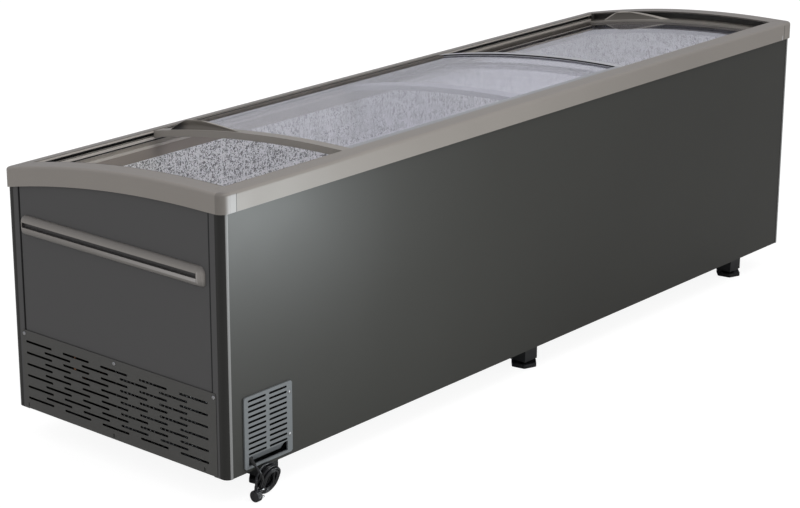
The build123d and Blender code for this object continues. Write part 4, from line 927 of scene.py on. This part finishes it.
def brushed(name, colour, roughness, stretch):
    """Drawn or brushed metal: fine lines along the piece from noise stretched in one direction."""
    made = Finish(name, colour, roughness, metallic=1.0)
    lines = made.noise(scale=1.0, detail=3.0, vector=made.stretched(stretch))
    made.tint(lines, dark=0.85, light=1.1)
    made.rough(lines, roughness - 0.06, roughness + 0.08)
    made.bump(lines, depth=0.04 * MM, strength=0.5)
    made.keep()


def rigid_foam():
    """Poured foam: cream cells with a rough skin."""
    made = Finish("foam", (0.75, 0.68, 0.42), roughness=0.9)
    made.tint(made.noise(scale=30.0, detail=3.0), dark=0.85, light=1.08)
    made.bump(made.cells(scale=500.0), depth=0.8 * MM, strength=0.8)
    made.keep()


spangled("galvanised", (0.42, 0.42, 0.43), roughness=0.42, scale=90.0)
spangled("nut_steel", (0.55, 0.55, 0.56), roughness=0.32, scale=900.0)
brushed("screw_steel", (0.62, 0.62, 0.62), roughness=0.28, stretch=(900.0, 900.0, 120.0))
brushed("fin_aluminium", (0.66, 0.67, 0.68), roughness=0.35, stretch=(900.0, 60.0, 60.0))
brushed("tube_copper", (0.72, 0.36, 0.20), roughness=0.3, stretch=(400.0, 400.0, 400.0))
rigid_foam()

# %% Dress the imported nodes
def dress_frame():
    """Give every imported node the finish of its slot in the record."""
    for part in frame["record"]["subparts"]:
        thing = nodes[part["node"]]
        thing.data.materials.clear()
        thing.data.materials.append(finishes[part["material_slot"]])


dress_frame()
print(len(finishes), "finishes on", len(nodes), "nodes")

# %% [markdown]
# ## Mains cord
# A black lead leaves a gland in the pocket under the vent, bends down into a hank of loops that
# leans on the foot, and ends in a round plug. A simulated rope would fall as it likes, and this one
# has to lie where it does on the real machine, so it is one smooth spline: listed points for
# the free stretches, and the hank's turns from a formula, half circles on short straight runs that
# wind in, out, in and out again through four layers.

# %% Cord route
CORD_DIAMETER = 6 * MM
GLAND_NOSE = Vector((1.165, 0.39338, 0.09553))
GLAND_OUT = Vector((0.0, 0.8192, -0.5736))
GLAND_NOSE_LENGTH = 20 * MM
LEAD_ROUTE = [(1.165, 0.39338, 0.09553), (1.165, 0.40075, 0.09037), (1.1632, 0.4052, 0.0836),
              (1.1595, 0.4078, 0.0753), (1.1546, 0.4070, 0.0663), (1.1486, 0.4036, 0.0586)]
TAIL_ROUTE = [(1.140, 0.3917, 0.081), (1.1485, 0.3922, 0.0753), (1.1555, 0.3929, 0.0673),
              (1.1606, 0.3936, 0.0583), (1.164, 0.3955, 0.0495), (1.164, 0.3955, 0.0405)]
HANK_AT = np.array((1.114, 0.386, 0.044))
HANK_LEAN = radians(22)
HANK_REACH = 31 * MM
HANK_HALF_RUN = 9.5 * MM
HANK_PITCH = 6.45 * MM
HANK_LAYERS = 4
HANK_HALF_TURNS = 5
HANK_POINTS = 7
HANK_START = 8 * MM
LEAD_LAST_RUN = 10 * MM
TAIL_FIRST_RUN = 9 * MM
HANK_UP = np.array((0, sin(HANK_LEAN), cos(HANK_LEAN)))
HANK_OUT = np.array((0, cos(HANK_LEAN), -sin(HANK_LEAN)))
HANK_RIGHT = np.array((-1.0, 0, 0))


def in_hank(x, y, layer):
    """Points of the hank's own plane: x to the right, y up along it, layers from front to back."""
    depth = ((HANK_LAYERS - 1) / 2 - layer) * HANK_PITCH
    return HANK_AT + x[:, None] * HANK_RIGHT + y[:, None] * HANK_UP + depth * HANK_OUT


def hank_turns():
    """Control points of the loops.

    Half turn n runs from reach r to r - step or r + step: its points are centre + radius times (cos, sin)
    of angles from 0 to pi, pushed out a little because the spline passes inside its control points.
    """
    angle = np.linspace(0, pi, HANK_POINTS)
    push = np.where((angle > 0) & (angle < pi), 2 / (1 + cos(angle[1] / 2)), 1.0)
    side, reach, step = -1, HANK_REACH, HANK_PITCH / 2
    turns = []
    for layer in range(HANK_LAYERS):
        for _ in range(HANK_HALF_TURNS):
            after = reach - step if layer % 2 == 0 else reach + step
            centre, radius = side * (reach - after) / 2, push * (reach + after) / 2
            x = centre + side * radius * np.cos(angle)
            y = side * (HANK_HALF_RUN + radius * np.sin(angle))
            turns.append(in_hank(x, y, layer))
            side, reach = -side, after
    crown = HANK_POINTS // 2 + 1
    turns[-1] = turns[-1][:crown]
    return np.concatenate(turns)


def cord_route():
    """All control points: the lead, the hank's turns and the tail."""
    turns = hank_turns()
    top = turns[0] + HANK_UP * (LEAD_LAST_RUN + 2 * HANK_HALF_RUN - HANK_START)
    onward = turns[-1] - HANK_RIGHT * (CORD_DIAMETER + TAIL_FIRST_RUN)
    return np.concatenate((LEAD_ROUTE, [top], turns, [onward], TAIL_ROUTE))


def mains_cord():
    """One open NURBS spline along the route, which it follows closely, with a round section."""
    route = cord_route()
    data = bpy.data.curves.new("mains_cord", "CURVE")
    data.dimensions = "3D"
    data.bevel_depth = CORD_DIAMETER / 2
    data.bevel_resolution = 4
    data.resolution_u = 5
    data.use_fill_caps = True
    spline = data.splines.new("NURBS")
    spline.points.add(len(route) - 1)
    spline.points.foreach_set("co", np.column_stack((route, np.ones(len(route)))).ravel())
    spline.order_u = 3
    spline.use_endpoint_u = True
    thing = bpy.data.objects.new("mains_cord", data)
    scene.collection.objects.link(thing)
    return settle(thing, "cord_rubber", "cabinet", ("cord_lead", "cord_hank", "cord_tail"))


cord = mains_cord()

# %% [markdown]
# ## Gland and plug
# The gland is a rubber sleeve with rings that let it bend, and the plug is a round moulded body with
# a ribbed rim, two pins and a ringed neck. Both are profiles turned about an axis. Modelling rings
# with a bump map would vanish on the outline, so the radius itself waves along the axis.

# %% Gland
GLAND_RADIUS = 6 * MM
GLAND_TIP_RADIUS = 4.2 * MM
GLAND_FLANGE_RADIUS = 9 * MM
GLAND_FLANGE = 2 * MM
GLAND_INSIDE = 10 * MM
GLAND_EDGE = 0.5 * MM
GLAND_RINGS = 6
GLAND_GROOVE = 0.35 * MM
GLAND_POINTS = 61
ROUND_COUNT = 48


def ringed(along, rings, groove):
    """Depth of the grooves between rings at shares along a sleeve: a cosine wave, 0 on each ring."""
    return groove * (1 - np.cos(2 * pi * rings * along)) / 2


def strain_relief():
    """Gland: radius falls in a line from the flange to the tip, less a groove between rings."""
    along = np.linspace(0, 1, GLAND_POINTS)
    taper = GLAND_RADIUS + (GLAND_TIP_RADIUS - GLAND_RADIUS) * along
    radius = taper - ringed(along, GLAND_RINGS, GLAND_GROOVE)
    height = GLAND_FLANGE + (GLAND_NOSE_LENGTH - GLAND_FLANGE) * along
    inside = [(0, -GLAND_INSIDE), (GLAND_RADIUS - GLAND_EDGE, -GLAND_INSIDE),
              (GLAND_RADIUS, GLAND_EDGE - GLAND_INSIDE), (GLAND_RADIUS, 0)]
    flange = [(GLAND_FLANGE_RADIUS, 0), (GLAND_FLANGE_RADIUS, GLAND_FLANGE - GLAND_EDGE),
              (GLAND_FLANGE_RADIUS - GLAND_EDGE, GLAND_FLANGE)]
    profile = inside + flange + list(zip(radius, height)) + [(0, GLAND_NOSE_LENGTH)]
    place = frame_at(GLAND_NOSE - GLAND_OUT * GLAND_NOSE_LENGTH, GLAND_OUT)
    sleeve = turned(profile, place, ROUND_COUNT)
    return piece("cord_strain_relief", [sleeve], "black_rubber", "cabinet", ("cord_gland",))


strain_relief()

# %% Plug
PLUG_AT = Vector((1.164, 0.3955, 0.0155))
PLUG_RADIUS = 15 * MM
PLUG_HALF = 9 * MM
PLUG_ROUND = 3.5 * MM
PLUG_ROUND_POINTS = 7
PLUG_LIP = 2 * MM
PLUG_DISH = 1 * MM
PLUG_RIBS = 28
PLUG_RIB_DEPTH = 0.6 * MM
PLUG_RIB_POINTS = 8
PLUG_NECK = 25 * MM
PLUG_NECK_FROM = 0.55
PLUG_NECK_RADIUS = 6 * MM
PLUG_NECK_TIP = 4.2 * MM
PLUG_NECK_RINGS = 9
PLUG_NECK_GROOVE = 0.5 * MM
PLUG_NECK_POINTS = 55
PLUG_PIN_RADIUS = 2.4 * MM
PLUG_PIN_LENGTH = 19 * MM
PLUG_PIN_SPREAD = 9.5 * MM
PLUG_PIN_COUNT = 20
PLUG_PIN_TIP_POINTS = 6
PLUG_SLEEVE_LENGTH = 11 * MM
PLUG_SLEEVE_INSIDE = 2 * MM


def plug_place(offset=0.0):
    """A frame that looks out along the pins, `offset` above the plug's middle."""
    return frame_at(PLUG_AT + Vector((0, 0, offset)), (-1, 0, 0), (0, 1, 0))


def plug_body():
    """Rim and faces: a rounded cylinder about X whose radius dips by a cosine between the ribs."""
    count = PLUG_RIB_POINTS * PLUG_RIBS
    dip = PLUG_RIB_DEPTH * (1 - np.cos(PLUG_RIBS * full_turn(count))) / 2
    shoulder = [(PLUG_RADIUS - PLUG_ROUND * (1 - np.sin(b)) - dip * np.sin(b) ** 2,
                 PLUG_HALF - PLUG_ROUND * (1 - np.cos(b))) for b in quarter_turn(PLUG_ROUND_POINTS)]
    flat = PLUG_RADIUS - PLUG_ROUND
    face = [(0, PLUG_HALF - PLUG_DISH), (flat - PLUG_LIP, PLUG_HALF - PLUG_DISH),
            (flat - PLUG_LIP / 2, PLUG_HALF)]
    profile = face + shoulder + [(r, -h) for r, h in reversed(face + shoulder)]
    return turned(profile, plug_place(), count)


def plug_neck():
    """Neck: radius falls in a line to the tip, less a groove between rings."""
    along = np.linspace(PLUG_NECK_FROM, 1, PLUG_NECK_POINTS)
    taper = PLUG_NECK_RADIUS + (PLUG_NECK_TIP - PLUG_NECK_RADIUS) * along
    radius = taper - ringed(along, PLUG_NECK_RINGS, PLUG_NECK_GROOVE)
    profile = list(zip(radius, PLUG_NECK * along)) + [(0, PLUG_NECK)]
    return turned(profile, frame_at(PLUG_AT, (0, 0, 1)), ROUND_COUNT)


def plug_pin(side):
    """Pin: a straight rod with a rounded tip, bare beyond its sleeve."""
    stop = PLUG_HALF + PLUG_PIN_LENGTH - PLUG_PIN_RADIUS
    tip = [(PLUG_PIN_RADIUS * cos(b), stop + PLUG_PIN_RADIUS * sin(b))
           for b in quarter_turn(PLUG_PIN_TIP_POINTS)]
    profile = [(PLUG_PIN_RADIUS, PLUG_HALF + PLUG_SLEEVE_LENGTH)] + tip
    return turned(profile, plug_place(side * PLUG_PIN_SPREAD), PLUG_PIN_COUNT)


def plug_sleeve(side):
    """Sleeve: a black rod round the first part of a pin."""
    ends = (PLUG_HALF - PLUG_SLEEVE_INSIDE, PLUG_HALF + PLUG_SLEEVE_LENGTH)
    profile = [(PLUG_PIN_RADIUS, end) for end in ends]
    return turned(profile, plug_place(side * PLUG_PIN_SPREAD), PLUG_PIN_COUNT)


plug_shapes = [plug_body(), plug_neck(), plug_sleeve(-1), plug_sleeve(1)]
plug = piece("mains_plug", plug_shapes, "cord_rubber", "cabinet", ("plug",))
pins = piece("mains_plug_pins", [plug_pin(-1), plug_pin(1)], "screw_steel", "cabinet")

# %% [markdown]
# ## Lid handles
# Each lid has a low wing of moulded plastic on its end bar: fingers pull on a hollow face under a
# rounded crest. A bevelled box would do for a distant view, but the hollow is what catches the
# light, so the wing is one closed section whose height follows two ramps and a level crest, carried
# across the lid.

# %% Rim line and lid handles
BAR_TOP = 2 * MM
LID_PITCH = 22 * MM
UPPER_WING_FACE = 0.772
LOWER_WING_FACE = -1.184
HANDLE_SHARPNESS = 6
HANDLE_LEAST_RUN = 0.5 * MM
HANDLE_TIP_RISE = 1 * MM
HANDLE_THICKNESS = 18 * MM
HANDLE_CREST = 3 * MM
HANDLE_TIP_CREST = 0.35
HANDLE_HOLLOW = 5 * MM
HANDLE_LEAN = 2 * MM
HANDLE_TIP = 5 * MM
WING_LINES = 133
WING_FACE_POINTS = 17
WING_CREST_POINTS = 9


def arch_height(y, depth):
    """Height of the line `depth` under the rim's top: level at the back, then an arc to the front."""
    run = np.maximum(ARCH_START - y, 0)
    return RIM_TOP - ARCH_RADIUS + np.sqrt((ARCH_RADIUS - depth) ** 2 - run ** 2)


def wing_rise(y):
    """Height of the wing over its bar: a short steep front, a level crest and a long straight back.

    The front and back are two straight ramps from the tips; a sum of high powers picks the lowest of
    front, crest and back, and rounds the change from one to the next.
    """
    front = np.maximum(y - HANDLE_FRONT, HANDLE_LEAST_RUN) / HANDLE_FRONT_RAMP
    back = np.maximum(HANDLE_BACK - y, HANDLE_LEAST_RUN) / HANDLE_BACK_RAMP
    lowest = (front ** -HANDLE_SHARPNESS + back ** -HANDLE_SHARPNESS + 1) ** (-1 / HANDLE_SHARPNESS)
    return np.maximum(HANDLE_RISE * lowest, HANDLE_TIP_RISE)


def wing_section(rise):
    """Section of the wing as (distance behind its front face, height), for an array of heights.

    The front leans back and is hollowed by the square of a sine wave, the crest is a half circle, and the
    back falls to the far foot along a quarter of a sine wave.
    """
    share = np.minimum(rise / HANDLE_RISE, 1)[:, None]
    crest = HANDLE_CREST * (HANDLE_TIP_CREST + (1 - HANDLE_TIP_CREST) * share)
    top = rise[:, None] - crest
    v = np.linspace(0, 1, WING_FACE_POINTS)[None, :]
    front = (share * (HANDLE_LEAN * v + HANDLE_HOLLOW * np.sin(pi * v) ** 2), top * v)
    bend = np.linspace(0, pi, WING_CREST_POINTS)[None, 1:-1]
    start = share * HANDLE_LEAN
    round_top = (start + crest * (1 - np.cos(bend)), top + crest * np.sin(bend))
    w = v[:, ::-1]
    end = start + 2 * crest
    back = (end + (HANDLE_THICKNESS - end) * (1 - np.sin(w * pi / 2)), top * w)
    return [np.concatenate(stretches, 1) for stretches in zip(front, round_top, back)]


def lid_handle(name, face_x, end, drop, body, node):
    """A wing whose front face stands at face_x and looks towards `end` (1 is the service end)."""
    y = np.linspace(HANDLE_FRONT, HANDLE_BACK, WING_LINES)
    near_tip = np.clip(np.minimum(y - HANDLE_FRONT, HANDLE_BACK - y) / HANDLE_TIP, 0, 1)
    taper = np.sqrt(near_tip * (2 - near_tip))[:, None]
    behind, above = wing_section(wing_rise(y))
    centre = HANDLE_THICKNESS / 2
    behind = centre + (behind - centre) * taper
    base = arch_height(y, drop + BAR_TOP)[:, None]
    along = np.broadcast_to(y[:, None], behind.shape)
    grid = np.stack((face_x - end * behind, along, base + above * taper), -1)
    return piece(name, [(grid, True)], "handle_plastic", body, (node,))


lid_handle("upper_wing_handle", UPPER_WING_FACE, 1, 0.0, "upper_lid", "upper_handle")
lid_handle("lower_wing_handle", LOWER_WING_FACE, -1, LID_PITCH, "lower_lid", "lower_handle")

# %% [markdown]
# ## Levelling feet
# Six feet screw into nuts on the cross channels, so that the long cabinet stands level. The pad is a
# six-sided shape with soft corners. A circle with six flats cut off it would have hard corners;
# instead the radius comes from one formula that blends six straight edges, and it needs no trimming.

# %% Feet
FOOT_X = {"service": 1.057, "middle": 0.0, "far": -1.057}
FOOT_Y = {"back": 0.316, "front": -0.316}
PAD_SIDES = 6
PAD_FLAT = 34.5 * MM
PAD_TURN = radians(40)
PAD_HEIGHT = 12 * MM
PAD_SHARPNESS = 26
PAD_SOFT = 3 * MM
PAD_SOFT_POINTS = 7
PAD_DISH = 1.6 * MM
PAD_DISH_SHARES = (0.8, 0.5, 0.2)
PAD_FOOT_ROUND = 1.5 * MM
PAD_FOOT_EDGE = 0.4 * MM
BOSS_RADIUS = 15 * MM
BOSS_TOP = 15 * MM
BOSS_EDGE = 0.8 * MM
STEM_RADIUS = 8 * MM
STEM_TOP = 58 * MM
THREAD_PITCH = 2.5 * MM
THREAD_DEPTH = 1.1 * MM
THREAD_STEPS = 6
FOOT_COUNT = 96


def soft_hexagon(angle):
    """Radius of a six-sided outline with soft corners.

    Each edge k allows radius flat / cos(angle - direction k); the sum of high powers picks the nearest
    edge and rounds the change from one to the next.
    """
    edges = PAD_TURN + (np.arange(PAD_SIDES) + 0.5) * 2 * pi / PAD_SIDES
    reach = np.maximum(np.cos(angle[:, None] - edges[None, :]), 0)
    return PAD_FLAT * (reach ** PAD_SHARPNESS).sum(1) ** (-1 / PAD_SHARPNESS)


def foot_pad(pad):
    """Pad from its sole to the boss: a rounded edge, a round shoulder and a top dished by a half sine."""
    sole = [(0, 0), (pad - PAD_FOOT_ROUND, 0), (pad - PAD_FOOT_EDGE, PAD_FOOT_EDGE),
            (pad, PAD_FOOT_ROUND)]
    shoulder = [(pad - PAD_SOFT * (1 - np.cos(b)), PAD_HEIGHT - PAD_SOFT + PAD_SOFT * np.sin(b))
                for b in quarter_turn(PAD_SOFT_POINTS)]
    width = pad - PAD_SOFT - BOSS_RADIUS
    dish = [(BOSS_RADIUS + width * s, PAD_HEIGHT - PAD_DISH * sin(pi * s)) for s in PAD_DISH_SHARES]
    return sole + shoulder + dish


def foot_profile():
    """Pad, boss and a screw thread, whose radius is a triangle wave that climbs as it turns."""
    angle = full_turn(FOOT_COUNT)
    boss = [(BOSS_RADIUS, PAD_HEIGHT), (BOSS_RADIUS, BOSS_TOP - BOSS_EDGE),
            (BOSS_RADIUS - BOSS_EDGE, BOSS_TOP)]
    stem = []
    for height in np.arange(BOSS_TOP, STEM_TOP, THREAD_PITCH / THREAD_STEPS):
        phase = (height / THREAD_PITCH - angle / (2 * pi)) % 1
        stem.append((STEM_RADIUS - THREAD_DEPTH * np.abs(2 * phase - 1), height))
    end = [(STEM_RADIUS - THREAD_DEPTH, STEM_TOP), (0, STEM_TOP)]
    return foot_pad(soft_hexagon(angle)) + boss + stem + end


def feet():
    """One foot of the same profile in each of the six places."""
    profile = foot_profile()
    for row, x in FOOT_X.items():
        for side, y in FOOT_Y.items():
            shape = turned(profile, Matrix.Translation((x, y, 0)), FOOT_COUNT)
            piece(f"foot_with_thread_{row}_{side}", [shape], "foot_plastic",
                  f"levelling_foot_{row}_{side}", (f"foot_{row}_{side}",))


feet()

# %% [markdown]
# ## Cover screws
# Five pan-head screws hold the grille and the vent cover. Each has a cross in its head. Cutting the
# cross with a boolean leaves ragged faces on so small a dome, so the head is a height over a round
# grid: a dome less a cross-shaped dip with steep sides.

# %% Screws
SCREW_HEAD_RADIUS = 5 * MM
SCREW_HEAD = 2.6 * MM
SCREW_DOME_POWER = 2.6
SCREW_RADIUS = 2.5 * MM
SCREW_LENGTH = 6 * MM
SCREW_COUNT = 96
SCREW_RINGS = 27
CROSS_REACH = 3.1 * MM
CROSS_HALF = 0.75 * MM
CROSS_DEPTH = 1.5 * MM
CROSS_WALL = 0.2 * MM
CROSS_END = 0.4 * MM
CROSS_RISE = 0.4
GRILLE_SCREWS = [(GRILLE_FACE, y, 0.2805) for y in (-0.340, -0.005, 0.340)]
VENT_SCREWS = [(1.031, VENT_FACE, z) for z in (0.1323, 0.2424)]


def screw_height(radius, angle):
    """Height of the head: a blunt ellipse's dome, less the cross, which is deepest in the middle."""
    share = radius / SCREW_HEAD_RADIUS
    dome = SCREW_HEAD * np.sqrt(np.maximum(1 - share ** SCREW_DOME_POWER, 0))
    x, y = np.abs(radius * np.cos(angle)), np.abs(radius * np.sin(angle))
    across = np.clip((CROSS_HALF - np.minimum(x, y)) / CROSS_WALL, 0, 1)
    along = np.clip((CROSS_REACH - radius) / CROSS_END, 0, 1)
    return dome - CROSS_DEPTH * across * along * (1 - CROSS_RISE * radius / CROSS_REACH)


def screw(place):
    """Head and shank of one screw, in the frame of `place`."""
    angle = full_turn(SCREW_COUNT)
    head = [(r, screw_height(r, angle)) for r in np.linspace(0, SCREW_HEAD_RADIUS, SCREW_RINGS)]
    shank = [(SCREW_RADIUS, 0), (SCREW_RADIUS, -SCREW_LENGTH), (0, -SCREW_LENGTH)]
    return turned(head + shank, place, SCREW_COUNT)


screws = [screw(frame_at(at, (1, 0, 0), (0, 1, 0))) for at in GRILLE_SCREWS]
screws += [screw(frame_at(at, (0, 1, 0))) for at in VENT_SCREWS]
piece("cross_head_screws", screws, "screw_steel", "cabinet", ("cover_screws",))

# %% [markdown]
# ## End grips
# A long moulding on each end lets people push the cabinet: a rounded bar with a finger slot along
# it, and a stepped cap at each end of the bar. It could be a bar with the slot cut out of it, but a
# cut leaves long thin faces on the rounded bar. Here it is a height over a flat grid, whose lines are
# drawn close together at the slot's edges, so that the slot keeps steep walls.

# %% Grips
PANEL_END = 1.2435
GRIP_HALF = 0.325
GRIP_MIDDLE = -4 * MM
GRIP_LOW = 0.551
GRIP_HEIGHT = 50 * MM
GRIP_DEPTH = 11 * MM
GRIP_FULLEST = 24 * MM
GRIP_TOP_POWER = 2.6
GRIP_LOW_POWER = 3.2
GRIP_TOP_ROUND = 19 * MM
GRIP_LOW_ROUND = 7 * MM
GRIP_STEP = 7 * MM
GRIP_STEP_RAMP = 2.5 * MM
GRIP_CAP_SHARE = 0.72
GRIP_CAP_POWER = 2.2
GRIP_LINES_ALONG = 90
GRIP_LINES_TIP = 12
GRIP_LINES_UP = (40, 20)
SLOT_LOW = 19 * MM
SLOT_HIGH = 31.5 * MM
SLOT_BACK = 2 * MM
SLOT_FRONT_INSET = 8 * MM
SLOT_BACK_INSET = 22 * MM
SLOT_ENDS = (SLOT_FRONT_INSET - GRIP_HALF, GRIP_HALF - SLOT_BACK_INSET)
SLOT_EDGE = 0.8 * MM
SLOT_EDGE_SHARES = np.array((-0.6, -0.2, 0.2, 0.6))


def lines_with_edges(start, stop, count, edges):
    """Grid lines from start to stop, with four more close together at each edge."""
    near = [edge + SLOT_EDGE * SLOT_EDGE_SHARES for edge in edges]
    return np.unique(np.concatenate([np.linspace(start, stop, count)] + near))


def steep(distance):
    """A step from 0 to 1 over the width of a slot's edge."""
    return np.clip(distance / SLOT_EDGE + 0.5, 0, 1)


def blunt(share, power):
    """Height of a blunt ellipse, from 1 at share 0 down to 0 at share 1."""
    return np.maximum(1 - share ** power, 0) ** (1 / power)


def grip_reach(z):
    """Half length of the grip at each height: its corners are quarter circles, larger at the top."""
    high = np.maximum(z - GRIP_HEIGHT + GRIP_TOP_ROUND, 0)
    low = np.maximum(GRIP_LOW_ROUND - z, 0)
    inset_high = GRIP_TOP_ROUND - np.sqrt(GRIP_TOP_ROUND ** 2 - high ** 2)
    inset_low = GRIP_LOW_ROUND - np.sqrt(GRIP_LOW_ROUND ** 2 - low ** 2)
    return GRIP_HALF - inset_high - inset_low


def grip_depth(y, z):
    """How far the grip stands out: a blunt ellipse in height, stepped at its ends, less the slot."""
    high = z > GRIP_FULLEST
    v = np.where(high, (z - GRIP_FULLEST) / (GRIP_HEIGHT - GRIP_FULLEST), 1 - z / GRIP_FULLEST)
    bar = blunt(v, np.where(high, GRIP_TOP_POWER, GRIP_LOW_POWER))
    from_end = grip_reach(z) - np.abs(y)
    cap = blunt(np.clip(1 - from_end / GRIP_STEP, 0, 1), GRIP_CAP_POWER)
    inner = np.clip((from_end - GRIP_STEP) / GRIP_STEP_RAMP, 0, 1)
    share = GRIP_CAP_SHARE * cap + (1 - GRIP_CAP_SHARE) * np.sin(inner * pi / 2)
    depth = GRIP_DEPTH * bar * share
    slot = steep(z - SLOT_LOW) * steep(SLOT_HIGH - z)
    slot = slot * steep(y - SLOT_ENDS[0]) * steep(SLOT_ENDS[1] - y)
    return depth + (np.minimum(depth, SLOT_BACK) - depth) * slot


def grip_lines():
    """Grid lines along and up the grip: close together at its edges, its tips and round the slot."""
    tips = GRIP_HALF - GRIP_STEP * (1 - np.cos(quarter_turn(GRIP_LINES_TIP)))
    along = lines_with_edges(-GRIP_HALF, GRIP_HALF, GRIP_LINES_ALONG, SLOT_ENDS)
    swinging, even = GRIP_LINES_UP
    swing = GRIP_HEIGHT * (1 - np.cos(np.linspace(0, pi, swinging))) / 2
    up = lines_with_edges(0, GRIP_HEIGHT, even, (SLOT_LOW, SLOT_HIGH))
    return np.unique(np.concatenate((along, tips, -tips))), np.unique(np.concatenate((swing, up)))


def end_grip(name, end, node):
    """The grip's height field on one end panel; the far one is the same moulding turned round."""
    across, up = np.meshgrid(*grip_lines())
    across = np.clip(across, -grip_reach(up), grip_reach(up))
    x = end * (PANEL_END + grip_depth(across, up))
    along = end * (across + GRIP_MIDDLE)
    front = np.stack((x, along, GRIP_LOW + up), -1)
    back = np.stack((np.full_like(x, end * PANEL_END), along, GRIP_LOW + up), -1)
    return piece(name, [(front, False), (back, False)], "grip_plastic", "cabinet", (node,))


end_grip("moulded_grip_service", 1, "service_end_grip")
end_grip("moulded_grip_far", -1, "far_end_grip")

# %% [markdown]
# ## Size and finish
# Dressing a part must not make it larger, or it would no longer fit where its solids fit. The box
# round the pieces could be read off the screen, but measuring it says it exactly, so the box of the
# imported solids, taken before the dressing, is printed.

# %% Print the size before dressing
print("box before", [round(v, 4) for v in (*cad_low, *cad_high)])
